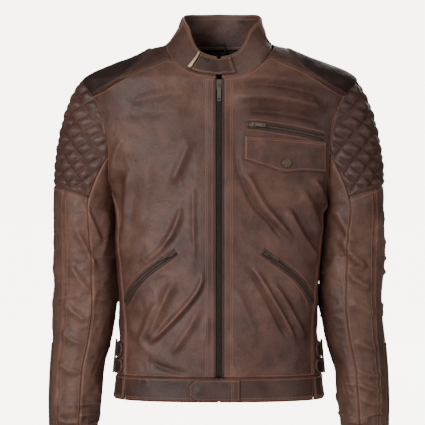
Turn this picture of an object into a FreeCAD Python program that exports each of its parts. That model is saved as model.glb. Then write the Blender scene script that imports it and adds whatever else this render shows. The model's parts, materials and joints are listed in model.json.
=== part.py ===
import FreeCAD, Part
import math
import os

# Leather riding jacket, closed, hanging straight.  Millimetres.
# Shapes are worked out about the centre of the hem opening and exported with
# ROW_SHIFT added, which puts the origin in the middle of the bottom of the
# bounding box, level with the sleeve ends.  +Z up to the collar, -Y out of
# the chest, +X to the wearer's left.
# "left" and "right" in the names are the wearer's.
#
# Each surface has two coordinates:
#   torso   phi in degrees (0 front, 90 wearer's left, 180 back), height z
#   collar  phi as above, rise (0 neck seam, 1 top edge)
#   sleeve  angle in degrees (0 outer, 90 front, 180 body side),
#           along (0 armhole, 1 underarm ring, 2 cuff)
# Offsets are (outer, inner) distances from a surface, positive outwards.
# Grids are (points across, points up) interpolated by a piece.

Vector = FreeCAD.Vector
os.makedirs("parts", exist_ok=True)

# ---------------------------------------------------------------- dimensions
ROW_SHIFT = Vector(0.0, 5.0, 95.1)
SIDES = ((1, "_left"), (-1, "_right"))  # sign of x, ending of the name

LEATHER = 2.2          # shell leather with its backing
SEAM = 1.2             # half gap left at a seam between two pieces
BAND_H = 43.0          # waistband height
PANEL_Z = BAND_H + SEAM        # bottom edge of the pieces above the waistband
SEAM_X = 165.0         # side panel's front seam at the waistband
FRONT_SEAM_X = SEAM_X - SEAM   # front pieces stop here
SIDE_SEAM_X = SEAM_X + SEAM    # and the next ones start here
BACK_SEAM = 112.0      # side panel's back seam, phi
YOKE_BACK_Z = 520.0    # yoke's lower edge at the middle of the back
YOKE_BACK_PHI = 178.2  # yoke's edge beside the middle of the back

ROUNDNESS = 2.5        # exponent of the torso sections
ARM_Z = 456.0          # armhole centre height
ARM_H = 104.0          # armhole half height
ARM_W = 17.0           # armhole half width, phi
ARM_RADIUS = 200.0     # torso radius that turns an armhole gap into phi
# seam corners round the armhole: 0 top, 90 front, 180 underarm
ARM_YOKE = 43.0        # front panel meets yoke
ARM_SIDE = 150.0       # front panel meets side panel
ARM_BACK = 210.0       # side panel meets back panel
ARM_YOKE_BACK = -47.0  # yoke's back corner

SHELL = (0.0, -LEATHER)
BAND = (1.0, -2.8)     # offsets of the waistband
COLLAR = (0.0, -2.6)
LINING_IN = 6.0        # lining hangs this far inside the shell
LINING = (-LINING_IN, -LINING_IN - 0.9)

# height, half width at the side
HALF_WIDTH = [
    (-20, 186), (0, 186), (43, 182), (120, 176), (175, 178), (230, 180),
    (262, 182), (300, 183), (330, 185), (352, 190), (400, 208),
    (455, 224), (500, 232), (540, 239), (560, 242), (574, 226),
    (588, 194), (602, 159), (616, 124), (625, 92), (640, 60)]
# height, depth in front of the axis
FRONT_DEPTH = [
    (-20, 122.9), (0, 122.0), (100, 117.5), (200, 113.0), (300, 108.5),
    (400, 104.0), (500, 99.5), (562, 96.7), (580, 88), (597, 76),
    (612, 62), (625, 46), (640, 30)]
# height, depth behind the axis
BACK_DEPTH = [
    (-20, 104), (0, 104), (43, 102), (120, 100), (230, 106), (350, 115),
    (440, 117), (490, 113), (540, 102), (580, 90), (600, 77), (612, 67),
    (625, 58), (640, 50)]
# phi, height of the neck seam
NECK = [
    (0, 561), (17, 564), (29.5, 571), (38.6, 581), (46.5, 592),
    (55, 605), (69.5, 619), (90, 624.5), (118, 624), (134, 623.5),
    (155, 622.5), (180, 622)]
# phi, height of the collar's top edge
COLLAR_TOP = [
    (0, 600), (19, 605), (36, 614), (47, 630), (56, 648),
    (90, 668), (120, 676), (180, 679)]
COLLAR_TOP_HALF_WIDTH = 60
COLLAR_TOP_Y = -10             # centre of the top edge
COLLAR_TOP_FRONT = 66          # its depth in front of and behind the centre
COLLAR_TOP_BACK = 62

SLEEVE_RING_Z = 330.0  # where the sleeve hangs free below the underarm
CUFF_Z = -95.0         # end of the sleeve
# sleeve sections: height, centre x, half width, centre y, half depth
SLEEVE = [
    (330, 243.5, 50.5, 5, 66), (252, 239, 55, 7, 63),
    (215, 238, 56, 7, 61), (168, 237.5, 56, 5, 58),
    (112, 242, 53, 0, 54), (42, 253, 46, -10, 48),
    (0, 255, 45, -15, 45), (-42, 257, 42, -20, 41),
    (-96, 259, 39, -26, 37)]


# ---------------------------------------------------------------- curves
def smooth_curve(table):
    """Monotone cubic y(x) through (x, y) points, level beyond both ends."""
    points = sorted(table)
    xs = [float(point[0]) for point in points]
    ys = [float(point[1]) for point in points]
    count = len(xs)
    steps = [xs[i + 1] - xs[i] for i in range(count - 1)]
    slopes = [(ys[i + 1] - ys[i]) / steps[i] for i in range(count - 1)]
    tangents = [0.0] * count
    tangents[0], tangents[-1] = slopes[0], slopes[-1]
    for i in range(1, count - 1):
        if slopes[i - 1] * slopes[i] > 0:
            before = 2 * steps[i] + steps[i - 1]
            after = steps[i] + 2 * steps[i - 1]
            tangents[i] = (before + after) / (before / slopes[i - 1]
                                              + after / slopes[i])

    def value(x):
        x = min(max(x, xs[0]), xs[-1])
        i = 0
        while i < count - 2 and x > xs[i + 1]:
            i += 1
        part = (x - xs[i]) / steps[i]
        return (ys[i] * (1 + 2 * part) * (1 - part) ** 2
                + steps[i] * tangents[i] * part * (1 - part) ** 2
                + ys[i + 1] * part * part * (3 - 2 * part)
                + steps[i] * tangents[i + 1] * part * part * (part - 1))
    return value


half_width = smooth_curve(HALF_WIDTH)
front_depth = smooth_curve(FRONT_DEPTH)
back_depth = smooth_curve(BACK_DEPTH)
neck_z = smooth_curve(NECK)
collar_z = smooth_curve(COLLAR_TOP)
sleeve_x, sleeve_half_width, sleeve_y, sleeve_half_depth = [
    smooth_curve([(row[0], row[column]) for row in SLEEVE])
    for column in range(1, 5)]


def spread(start, end, steps):
    """Evenly spaced values from start to end."""
    return [start + (end - start) * i / float(steps) for i in range(steps + 1)]


def line(start, end, steps):
    """Evenly spaced points from start to end in surface coordinates."""
    return list(zip(spread(start[0], end[0], steps),
                    spread(start[1], end[1], steps)))


def level(values, height):
    """Points at one height, or one place along the sleeve."""
    return [(value, height) for value in values]


def sin_cos(degrees):
    radians = math.radians(degrees)
    return math.sin(radians), math.cos(radians)


# ---------------------------------------------------------------- surfaces
def surface_normal(surface, first, second, first_step, second_step):
    along_first = (surface(first + first_step, second)
                   - surface(first - first_step, second))
    along_second = (surface(first, second + second_step)
                    - surface(first, second - second_step))
    return along_first.cross(along_second).normalize()


def torso(phi, z):
    """Point of the shell."""
    sine, cosine = sin_cos(phi)
    width = half_width(z)
    depth = front_depth(z) if cosine >= 0 else back_depth(z)
    radius = (abs(sine / width) ** ROUNDNESS
              + abs(cosine / depth) ** ROUNDNESS) ** (-1.0 / ROUNDNESS)
    return Vector(radius * sine, -radius * cosine, z)


def torso_normal(phi, z):
    return surface_normal(torso, phi, z, 0.4, 0.8)


def torso_off(phi, z, offset):
    point = torso(phi, z)
    if offset == 0:
        return point
    return point + torso_normal(phi, z) * offset


def phi_of(x, z):
    """Phi of the front shell point at width x and height z."""
    part = min(abs(x) / half_width(z), 1.0)
    depth = front_depth(z) * (1 - part ** ROUNDNESS) ** (1 / ROUNDNESS)
    return math.copysign(math.degrees(math.atan2(abs(x), depth)), x)


def torso_line(points, steps=6, side=1):
    """Torso coordinates along a front-view poly-line given in x and z."""
    places = [points[0]]
    for start, end in zip(points, points[1:]):
        places += line(start, end, steps)[1:]
    return [(side * phi_of(x, z), z) for x, z in places]


def collar(phi, rise):
    """Point of the collar surface, which flares less towards its top."""
    seam_z = neck_z(abs(phi)) + 1.4
    foot = torso(phi, seam_z - 1.0)
    sine, cosine = sin_cos(phi)
    depth = COLLAR_TOP_FRONT if cosine > 0 else COLLAR_TOP_BACK
    rim_x = COLLAR_TOP_HALF_WIDTH * sine
    rim_y = COLLAR_TOP_Y - depth * cosine
    lean = 1.3 * rise - 0.3 * rise * rise
    return Vector(foot.x + (rim_x - foot.x) * lean,
                  foot.y + (rim_y - foot.y) * lean,
                  seam_z + (collar_z(abs(phi)) - seam_z) * rise)


def collar_normal(phi, rise):
    return surface_normal(collar, phi, rise, 0.5, 0.02)


def collar_off(phi, rise, offset):
    point = collar(phi, rise)
    if offset == 0:
        return point
    return point + collar_normal(phi, rise) * offset


def collar_wrap(phi, rise, offset):
    """Collar surface for phi running on past 180 across the back."""
    turned = phi if phi <= 180 else phi - 360
    if abs(abs(turned) - 180) < 1e-6:
        left = collar_off(179.4, rise, offset)
        right = collar_off(-179.4, rise, offset)
        return Vector(0, (left.y + right.y) / 2, (left.z + right.z) / 2)
    return collar_off(turned, rise, offset)


def armhole(angle, gap=0.0):
    """(phi, z) of the left armhole seam: 0 top, 90 front, 180 underarm."""
    sine, cosine = sin_cos(angle)
    width = ARM_W + math.degrees(gap / ARM_RADIUS)
    return (90 - width * sine, ARM_Z + (ARM_H + gap) * cosine)


def armhole_arc(start, end, steps, gap=SEAM):
    return [armhole(angle, gap) for angle in spread(start, end, steps)]


def sleeve_section(angle, z):
    """Point of the hanging sleeve on the left."""
    sine, cosine = sin_cos(angle)
    return Vector(sleeve_x(z) + sleeve_half_width(z) * cosine,
                  sleeve_y(z) - sleeve_half_depth(z) * sine, z)


def sleeve(angle, along, side):
    """Point of the sleeve; a cubic joins the armhole to the underarm ring."""
    if along >= 1:
        z = SLEEVE_RING_Z + (CUFF_Z - SLEEVE_RING_Z) * (along - 1)
        point = sleeve_section(angle, z)
        return Vector(side * point.x, point.y, point.z)
    sine, cosine = sin_cos(angle)
    start = torso(*armhole(angle))
    end = sleeve_section(angle, SLEEVE_RING_Z)
    span = (end - start).Length
    leave = Vector(0.42 + 0.30 * cosine, -0.16 * sine, -0.72 + 0.06 * cosine)
    leave = leave.normalize() * span * 0.72
    arrive = Vector(0, 0, -span)
    square, cube = along ** 2, along ** 3
    point = (start * (2 * cube - 3 * square + 1)
             + leave * (cube - 2 * square + along)
             + end * (-2 * cube + 3 * square)
             + arrive * (cube - square))
    return Vector(side * point.x, point.y, point.z)


def along_at(z):
    """Place along the hanging sleeve at height z."""
    return 1 + (SLEEVE_RING_Z - z) / (SLEEVE_RING_Z - CUFF_Z)


def sleeve_off(angle, along, side, offset):
    point = sleeve(angle, along, side)
    if offset == 0:
        return point
    outward = surface_normal(lambda first, second: sleeve(first, second, side),
                             angle, along, 0.8, 0.004)
    return point + outward * (side * offset)


def sleeve_surface(side):
    return lambda angle, along, offset: sleeve_off(angle, along, side, offset)


# ---------------------------------------------------------------- builders
def fitted_surface(point_at, grid):
    columns, rows = grid
    surface = Part.BSplineSurface()
    surface.interpolate([[point_at(i / (columns - 1.0), j / (rows - 1.0))
                          for j in range(rows)] for i in range(columns)])
    return surface


def skin(outer_at, inner_at, grid):
    """Closed six-faced solid between two surfaces over the unit square."""
    outer = fitted_surface(outer_at, grid)
    inner = fitted_surface(inner_at, grid)
    faces = [outer.toShape(), inner.toShape()]
    outer_ends, inner_ends = outer.bounds(), inner.bounds()
    for end in (0, 1):
        faces.append(Part.makeRuledSurface(
            outer.uIso(outer_ends[end]).toShape(),
            inner.uIso(inner_ends[end]).toShape()))
        faces.append(Part.makeRuledSurface(
            outer.vIso(outer_ends[2 + end]).toShape(),
            inner.vIso(inner_ends[2 + end]).toShape()))
    shell = Part.makeShell(faces)
    shell.sewShape()
    # sewing may wrap the shell in another shape
    if shell.ShapeType != "Shell":
        shell = shell.Shells[0]
    solid = Part.makeSolid(shell)
    if solid.Volume < 0:
        solid.reverse()
    if not solid.isValid():
        solid.fix(1e-4, 1e-4, 1e-2)
    return solid


def by_length(points, metric):
    """Poly-line of surface coordinates as a function of its real length."""
    solid_points = [metric(*point) for point in points]
    lengths = [0.0]
    for start, end in zip(solid_points, solid_points[1:]):
        lengths.append(lengths[-1] + (end - start).Length)

    def place_at(part):
        target = part * lengths[-1]
        i = 0
        while i < len(lengths) - 2 and target > lengths[i + 1]:
            i += 1
        ratio = (target - lengths[i]) / (lengths[i + 1] - lengths[i])
        start, end = points[i], points[i + 1]
        return (start[0] + (end[0] - start[0]) * ratio,
                start[1] + (end[1] - start[1]) * ratio)
    return place_at


def fill_edges(bottom, top, near, far, metric):
    """Coons patch of surface coordinates between four edges."""
    bottom_at, top_at = by_length(bottom, metric), by_length(top, metric)
    near_at, far_at = by_length(near, metric), by_length(far, metric)
    corners = (bottom_at(0), bottom_at(1), top_at(0), top_at(1))

    def place_at(across, up):
        edges = (bottom_at(across), top_at(across), near_at(up), far_at(up))
        edge_weights = (1 - up, up, 1 - across, across)
        corner_weights = ((1 - across) * (1 - up), across * (1 - up),
                          (1 - across) * up, across * up)
        return tuple(
            sum(weight * edge[i] for weight, edge in zip(edge_weights, edges))
            - sum(weight * corner[i]
                  for weight, corner in zip(corner_weights, corners))
            for i in (0, 1))
    return place_at


def panel(bottom, top, near, far, grid, offsets=SHELL, surface=torso_off,
          side=1):
    """Sewn piece on a surface between four edges; side -1 mirrors them."""
    edges = [[(side * first, second) for first, second in edge]
             for edge in (bottom, top, near, far)]
    place_at = fill_edges(*edges,
                          lambda first, second: surface(first, second, 0))
    outer, inner = offsets
    return skin(lambda across, up: surface(*place_at(across, up), outer),
                lambda across, up: surface(*place_at(across, up), inner),
                grid)


def band(bottom, top, steps, grid, **options):
    """Panel whose two sides run straight from bottom to top."""
    return panel(bottom, top, line(bottom[0], top[0], steps),
                 line(bottom[-1], top[-1], steps), grid, **options)


def place(shape, origin, along, outward):
    """Copy with local x near along, local z on outward."""
    axis_z = Vector(outward).normalize()
    axis_x = (along - axis_z * along.dot(axis_z)).normalize()
    axis_y = axis_z.cross(axis_x)
    matrix = FreeCAD.Matrix(axis_x.x, axis_y.x, axis_z.x, origin.x,
                            axis_x.y, axis_y.y, axis_z.y, origin.y,
                            axis_x.z, axis_y.z, axis_z.z, origin.z,
                            0, 0, 0, 1)
    placed = shape.copy()
    placed.Placement = FreeCAD.Placement(matrix)
    return placed


def box(x_span, y_span, z_span):
    return Part.makeBox(x_span[1] - x_span[0], y_span[1] - y_span[0],
                        z_span[1] - z_span[0],
                        Vector(x_span[0], y_span[0], z_span[0]))


def round_upright_edges(shape, radius, least_height):
    return shape.makeFillet(radius, [
        edge for edge in shape.Edges
        if abs(edge.Vertexes[0].Point.z
               - edge.Vertexes[1].Point.z) > least_height])


def export(name, shape):
    shape.translated(ROW_SHIFT).exportStep("parts/" + name + ".step")


def export_zip(place_name, ending, shapes):
    for part, shape in zip(("chain", "slider", "pull"), shapes):
        export(place_name + "_zip_" + part + ending, shape)


# ---------------------------------------------------------------- torso shell
ZIP_Y = -122.0         # front zip line, y at the hem
ZIP_SLOPE = 0.045      # and how it leans back going up
ZIP_HALF = 5.0         # leather edge beside the front zip
ZIP_EDGE_PHI = math.degrees(math.atan2(ZIP_HALF, 110.0))  # at the neck
BAND_LOW_Z = 1.0       # waistband's lower edge
BAND_FRONT_X = 1.2     # its edge beside the front zip
# x, z of the seam between front panel and yoke, from the neck outwards
YOKE_SEAM = [(88, 598), (101, 590), (138, 575), (171, 560), (198, 544)]
FRONT_NECK_PHI = (ZIP_EDGE_PHI, 8, 17, 24, 29.5, 34, 38.6, 43, 46.5)
YOKE_NECK_PHI = (55, 62, 69.5, 80, 90, 104, 118, 134, 145, 155, 168,
                 YOKE_BACK_PHI)
YOKE_ARM_FRONT = ARM_YOKE - 2.2    # yoke's front corner on the armhole


def yoke_seam():
    """Front panel's edge along the yoke, ending on the armhole."""
    corner = armhole(ARM_YOKE, SEAM)
    seam = torso_line(YOKE_SEAM + [(torso(*corner).x, corner[1])])
    return [(phi, z - SEAM) for phi, z in seam[1:-1]] + [corner]


def front_panel(side):
    """Between the zip, neck, yoke seam, armhole and side seam."""
    bottom = [(phi_of(x, PANEL_Z), PANEL_Z)
              for x in spread(ZIP_HALF, FRONT_SEAM_X, 12)]
    top = [(phi, neck_z(phi)) for phi in FRONT_NECK_PHI] + yoke_seam()
    zip_edge = [(phi_of(ZIP_HALF, z), z)
                for z in spread(PANEL_Z, neck_z(ZIP_EDGE_PHI), 12)]
    zip_edge[-1] = top[0]
    underarm_phi, underarm_z = armhole(ARM_SIDE, SEAM)
    side_edge = line((phi_of(FRONT_SEAM_X, PANEL_Z), PANEL_Z),
                     (underarm_phi - 0.5, underarm_z), 10)
    side_edge += armhole_arc(ARM_SIDE, ARM_YOKE, 12)[1:]
    return panel(bottom, top, zip_edge, side_edge, (17, 23), side=side)


def side_panel(side):
    """Under the arm."""
    bottom = line((phi_of(SIDE_SEAM_X, PANEL_Z), PANEL_Z),
                  (BACK_SEAM - 0.5, PANEL_Z), 8)
    top = armhole_arc(ARM_SIDE, ARM_BACK, 10, SEAM + 1.5)
    top[0] = (armhole(ARM_SIDE, SEAM)[0] + 0.4, top[0][1])
    return band(bottom, top, 10, (15, 19), side=side)


def yoke(side):
    """Over the shoulder, from the front panel to the back panel."""
    front = [(46.5 + 0.7, neck_z(47.2) + 0.2)]
    front += [(phi, z + 2 * SEAM + 0.6) for phi, z in yoke_seam()[1:-1]]
    front.append(armhole(YOKE_ARM_FRONT, SEAM))
    rear_corner = (YOKE_BACK_PHI, YOKE_BACK_Z)
    rear = line(rear_corner, armhole(ARM_YOKE_BACK, SEAM), 12)
    neck = [(phi, neck_z(phi) - 0.2) for phi in YOKE_NECK_PHI]
    inner_edge = [front[0]] + neck + line(neck[-1], rear_corner, 5)[1:]
    arm_edge = armhole_arc(YOKE_ARM_FRONT, ARM_YOKE_BACK, 12)
    return panel(front, rear, inner_edge, arm_edge, (13, 23), side=side)


def both_halves(half):
    """Edge to the middle of the back, carried on to the other side."""
    return half + [(360 - phi, z) for phi, z in half[-2::-1]]


def back_panel():
    arm_phi, arm_z = armhole(ARM_BACK, SEAM)
    near = line((BACK_SEAM + 0.7, PANEL_Z), (arm_phi + 1.6, arm_z + 0.6), 10)
    near = near[:-1] + armhole_arc(211, 310.5, 12)
    far = [(360 - phi, z) for phi, z in near]
    bottom = [near[0]] + level(spread(BACK_SEAM + 0.5, 180, 8)[1:], PANEL_Z)
    top = line(armhole(-49.5, SEAM), (180, YOKE_BACK_Z - 2 * SEAM), 8)
    return panel(both_halves(bottom), both_halves(top), near, far, (23, 21))


def waistband_front(side):
    widths = spread(BAND_FRONT_X, FRONT_SEAM_X, 10)
    return band([(phi_of(x, 0), BAND_LOW_Z) for x in widths],
                [(phi_of(x, BAND_H), BAND_H) for x in widths],
                4, (9, 3), offsets=BAND, side=side)


def waistband_back():
    start = phi_of(SIDE_SEAM_X, BAND_H)
    angles = spread(start, 360 - start, 20)
    return band(level(angles, BAND_LOW_Z), level(angles, BAND_H),
                3, (17, 3), offsets=BAND)


# ------------------------------------------------- collar, lining, protector
COLLAR_FOOT = 0.03         # rise of the collar's lower edge
COLLAR_BACK_PHI = 74.5     # where the back piece starts
LINING_LOW_Z = 50


def collar_front(side):
    angles = spread(3.6, 73.0, 10)
    return band(level(angles, COLLAR_FOOT), level(angles, 1.0), 4, (9, 5),
                offsets=COLLAR, surface=collar_off, side=side)


def collar_back():
    angles = spread(COLLAR_BACK_PHI, 360 - COLLAR_BACK_PHI, 16)
    return band(level(angles, COLLAR_FOOT), level(angles, 1.0), 4, (17, 5),
                offsets=COLLAR, surface=collar_wrap)


def lining_front(side):
    angles = spread(9, 64, 10)
    top = [(phi, 549 - 0.25 * (phi - 9)) for phi in angles]
    return band(level(angles, LINING_LOW_Z), top, 8, (9, 9),
                offsets=LINING, side=side)


def lining_back():
    angles = spread(113, 247, 14)
    top = [(phi, 606 - 66 * (abs(phi - 180) / 67.0) ** 2) for phi in angles]
    return band(level(angles, LINING_LOW_Z), top, 8, (13, 9), offsets=LINING)


def back_protector():
    angles = spread(135, 225, 8)
    return band(level(angles, 150), level(angles, 500), 6, (7, 7),
                offsets=(-8.5, -17.5))


# ---------------------------------------------------------------- hanging loop
LOOP_R = 10.0              # inner radius
LOOP_WALL = 2.4
LOOP_T = 4                 # thickness in y
LOOP_Y, LOOP_Z = 50.0, 620.0   # centre
LOOP_TACK_X = 7.5          # tacks either side of the middle
LOOP_TACK_HALF = 2         # half width of a tack


def hang_loop():
    """Round eye in front of the back collar, with two tacks reaching to it."""
    centre = Vector(0, LOOP_Y, LOOP_Z)
    axis = Vector(0, 1, 0)
    eye = Part.makeCylinder(LOOP_R + LOOP_WALL, LOOP_T,
                            centre - axis * (LOOP_T / 2), axis)
    for x in (-LOOP_TACK_X, LOOP_TACK_X):
        eye = eye.fuse(box((x - LOOP_TACK_HALF, x + LOOP_TACK_HALF),
                           (LOOP_Y - LOOP_T / 2, LOOP_Y + 4.1),
                           (LOOP_Z + 8.5, LOOP_Z + 13.5)))
    hole = Part.makeCylinder(LOOP_R, 24, centre - axis * 12, axis)
    return eye.cut(hole).removeSplitter()


# ---------------------------------------------------------------- waist straps
STRAP_W = 25.0
STRAP_HEIGHTS = (58.5, 87.0)   # centre lines, on each side
STRAP_FRONT_X = 170            # front end
STRAP_BACK_PHI = 124           # back end
BUCKLE_PHI = 92
BUCKLE_T = 2.6


def waist_strap(side, z):
    low_z, high_z = z - STRAP_W / 2, z + STRAP_W / 2
    angles = spread(phi_of(STRAP_FRONT_X, z), STRAP_BACK_PHI, 8)
    return band(level(angles, low_z), level(angles, high_z), 3, (15, 3),
                offsets=(4.0, 1.4), side=side)


def waist_buckle(side, z):
    """Frame with two slots for the strap."""
    frame = box((-10, 10), (-15.5, 15.5), (0, BUCKLE_T))
    frame = round_upright_edges(frame, radius=3, least_height=2)
    for slot in ((-6.6, -1.4), (1.4, 6.6)):
        frame = frame.cut(box(slot, (-12.2, 12.2), (-1, 5)))
    phi = side * BUCKLE_PHI
    along = torso(side * (BUCKLE_PHI + 2), z) - torso(side * (BUCKLE_PHI - 2), z)
    return place(frame, torso_off(phi, z, 4.6), along, torso_normal(phi, z))


def on_all_straps(build):
    return Part.makeCompound([build(side, z) for side, _ in SIDES
                              for z in STRAP_HEIGHTS])


# ---------------------------------------------------------------- sleeves
SHOULDER_X, SHOULDER_Z = 238.0, 551.0  # axis the arm is raised about
SHOULDER_MAX = 30.0            # degrees
SHOULDER_CLEAR = 3.0           # room kept to the shell
ELBOW_Y, ELBOW_Z = -18.0, 215.0    # elbow axis
ELBOW_MAX = 35.0               # degrees
QUILT_Z = 368.0                # lower edge of the quilted panel
SLEEVE_START = 0.012           # least distance along from the armhole
SLEEVE_SEAM = 105.0            # angle of the seams, front and back
SLEEVE_SEAM_GAP = 0.9          # half gap there, degrees
TOP_ANGLES = (-SLEEVE_SEAM + SLEEVE_SEAM_GAP, SLEEVE_SEAM - SLEEVE_SEAM_GAP)
UNDER_ANGLES = (SLEEVE_SEAM + SLEEVE_SEAM_GAP,
                360 - SLEEVE_SEAM - SLEEVE_SEAM_GAP)


def raised(point, degrees):
    """Point of the left sleeve turned up about the shoulder axis."""
    sine, cosine = sin_cos(degrees)
    x, z = point.x - SHOULDER_X, point.z - SHOULDER_Z
    return Vector(SHOULDER_X + x * cosine - z * sine, point.y,
                  SHOULDER_Z + z * cosine + x * sine)


def hits_shoulder(point):
    """Is a raised sleeve point in or too near the shoulder shell."""
    if point.z > 624 or point.z < 340:
        return False
    phi = math.degrees(math.atan2(point.x, -point.y))
    in_armhole = (((phi - 90) / (ARM_W - 1.0)) ** 2
                  + ((point.z - ARM_Z) / (ARM_H - 2.0)) ** 2) < 1
    if in_armhole:
        return False
    shell = torso(phi, point.z)
    return (math.hypot(point.x, point.y)
            - math.hypot(shell.x, shell.y)) < SHOULDER_CLEAR


def find_start(angle):
    """Where along the sleeve it may begin so that it can be raised."""
    along = 0.60
    while along > SLEEVE_START:
        point = sleeve(angle, along, 1)
        if any(hits_shoulder(raised(point, SHOULDER_MAX * k / 6.0))
               for k in range(1, 7)):
            return along + 0.012
        along -= 0.006
    return SLEEVE_START


def find_quilt_edge(angle):
    """Where along the sleeve it comes down to QUILT_Z."""
    along = 0.99
    while along > 0.05 and sleeve(angle, along, 1).z < QUILT_Z:
        along -= 0.004
    return along


ROUND_SLEEVE = range(-180, 181, 10)
sleeve_start = smooth_curve([(a, find_start(a)) for a in ROUND_SLEEVE])
quilt_edge = smooth_curve([(a, find_quilt_edge(a)) for a in ROUND_SLEEVE])


def elbow_gap(angle):
    """Half gap at the elbow, widening forwards so that the arm can bend."""
    y = sleeve(angle, along_at(ELBOW_Z), 1).y
    return max(0.9, (ELBOW_Y - y) * math.tan(
        math.radians(ELBOW_MAX / 2)) + 1.6)


def above_elbow(angle):
    return along_at(ELBOW_Z + elbow_gap(angle))


def below_elbow(angle):
    return along_at(ELBOW_Z - elbow_gap(angle))


def cuff_edge(angle):
    return 2.0


# name: (angles, lower edge, upper edge, offsets, grid)
SLEEVE_PIECES = {
    "quilted_panel": (TOP_ANGLES, lambda a: quilt_edge(a) - 0.008,
                      sleeve_start, (0, -7.0), (15, 11)),
    "sleeve_top": (TOP_ANGLES, above_elbow,
                   lambda a: quilt_edge(a) + 0.012, SHELL, (9, 9)),
    "sleeve_under": (UNDER_ANGLES, above_elbow,
                     lambda a: sleeve_start(a) + 0.01, SHELL, (13, 21)),
    "forearm_top": (TOP_ANGLES, cuff_edge, below_elbow, SHELL, (15, 25)),
    "forearm_under": (UNDER_ANGLES, cuff_edge, below_elbow, SHELL, (13, 25)),
}


def sleeve_piece(side, angles, lower, upper, offsets, grid):
    """Piece between two edge curves, evenly spaced down the arm."""
    lanes = {}

    def place_at(across, up):
        angle = angles[0] + (angles[1] - angles[0]) * across
        if angle not in lanes:
            turned = angle if angle <= 180 else angle - 360
            lane = [(angle, along)
                    for along in spread(lower(turned), upper(turned), 24)]
            lanes[angle] = by_length(
                lane, lambda first, second: sleeve(first, second, 1))
        return lanes[angle](up)

    outer, inner = offsets
    solid = skin(
        lambda across, up: sleeve_off(*place_at(across, up), 1, outer),
        lambda across, up: sleeve_off(*place_at(across, up), 1, inner),
        grid)
    return solid if side > 0 else solid.mirror(Vector(0, 0, 0),
                                               Vector(1, 0, 0))


def elbow_armour(side):
    """Protector in the back of the forearm."""
    angles = spread(-95, -25, 6)
    return band(level(angles, along_at(80)), level(angles, along_at(196)),
                4, (7, 5), offsets=(-5.0, -14.0),
                surface=sleeve_surface(side))


# ---------------------------------------------------------------- zips
CHAIN = (0.5 + 1.2, 0.5)   # offsets of a pocket or cuff zip chain
SLIDER_T = 1.6
EAR_SPANS = ((-3.4, -2.3), (2.3, 3.4))  # slider's ears, local y
BARREL_RISE = 1.7          # pull's barrel above the slider plate


# slider and pull: local x along the zip, z away from the cloth
def slider_body(length=12.0, width=7.5, thick=SLIDER_T):
    body = box((-length / 2, length / 2), (-width / 2, width / 2), (0, thick))
    body = round_upright_edges(body, radius=1.4, least_height=thick * 0.9)
    for ear in EAR_SPANS:
        body = body.fuse(box((-1.6, 1.6), ear, (thick - 0.2, thick + 2.2)))
    return body.removeSplitter()


def pull_body(length=22.0, width=6.0, thick=1.2, slider_thick=SLIDER_T,
              hole_radius=1.6):
    """Barrel between the slider's ears, tab reaching towards -x."""
    z = slider_thick + BARREL_RISE
    heights = (z - thick / 2, z + thick / 2)
    barrel = Part.makeCylinder(1.1, 3.8, Vector(0, -1.9, z), Vector(0, 1, 0))
    neck = box((-5.0, 0), (-1.6, 1.6), heights)
    tab = box((-length, -4.6), (-width / 2, width / 2), heights)
    tab = round_upright_edges(tab, radius=1.8, least_height=thick * 0.9)
    body = barrel.fuse(neck).fuse(tab)
    hole = Part.makeCylinder(hole_radius, 10, Vector(-length + 4.2, 0, z - 5))
    return body.cut(hole).removeSplitter()


def slider_and_pull(origin, along, outward):
    return (place(slider_body(), origin, along, outward),
            place(pull_body(), origin, along, outward))


def zip_chain(near, far, rows, surface=torso_off):
    return panel(line(near[0], far[0], 2), line(near[-1], far[-1], 2),
                 near, far, (3, rows), offsets=CHAIN, surface=surface)


CUFF_ZIP_ANGLE = 18.0
CUFF_ZIP_Z = (-88.0, 98.0)     # ends of the chain
CUFF_ZIP_HALF = 4.2            # half width
CUFF_ZIP_LEAD = 8              # slider's travel stops this far from the ends
CUFF_SLIDER_OFF = 2.2          # slider's least offset from the sleeve


def cuff_zip(side):
    """Chain on the sleeve's outer edge; the slider sits at its lower end."""
    surface = sleeve_surface(side)
    low_z, high_z = CUFF_ZIP_Z
    near, far = [
        [(CUFF_ZIP_ANGLE + sign * math.degrees(
            CUFF_ZIP_HALF / sleeve_half_width(z)), along_at(z))
         for z in spread(low_z, high_z, 8)] for sign in (-1, 1)]
    chain = zip_chain(near, far, 9, surface)

    def run_point(z):
        return surface(CUFF_ZIP_ANGLE, along_at(z), CUFF_SLIDER_OFF)

    start = run_point(low_z + CUFF_ZIP_LEAD)
    travel = run_point(high_z - CUFF_ZIP_LEAD) - start
    mid = along_at(-60)
    outward = (surface(CUFF_ZIP_ANGLE, mid, 1)
               - surface(CUFF_ZIP_ANGLE, mid, 0)).normalize()
    # the straight travel line is lifted clear of the sleeve's bulge
    bulge = max(outward.dot(run_point(start.z + travel.z * part)
                            - (start + travel * part))
                for part in spread(0, 1, 20))
    origin = start + outward * (max(0.0, bulge) + 0.3)
    return (chain,) + slider_and_pull(origin, travel * -1, outward)


# x, z of the pocket zips on the left, from the end where the slider sits
HAND_ZIP = [(75, 261), (95, 246), (113, 233), (131, 218), (147, 200),
            (159, 180), (163, 170)]
CHEST_ZIP = [(49, 481), (75, 479), (107, 474), (142, 468), (182, 459)]
POCKET_ZIP_LEAD = 9.0      # slider's travel stops this far from the ends
POCKET_ZIP_STEPS = 14


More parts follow.
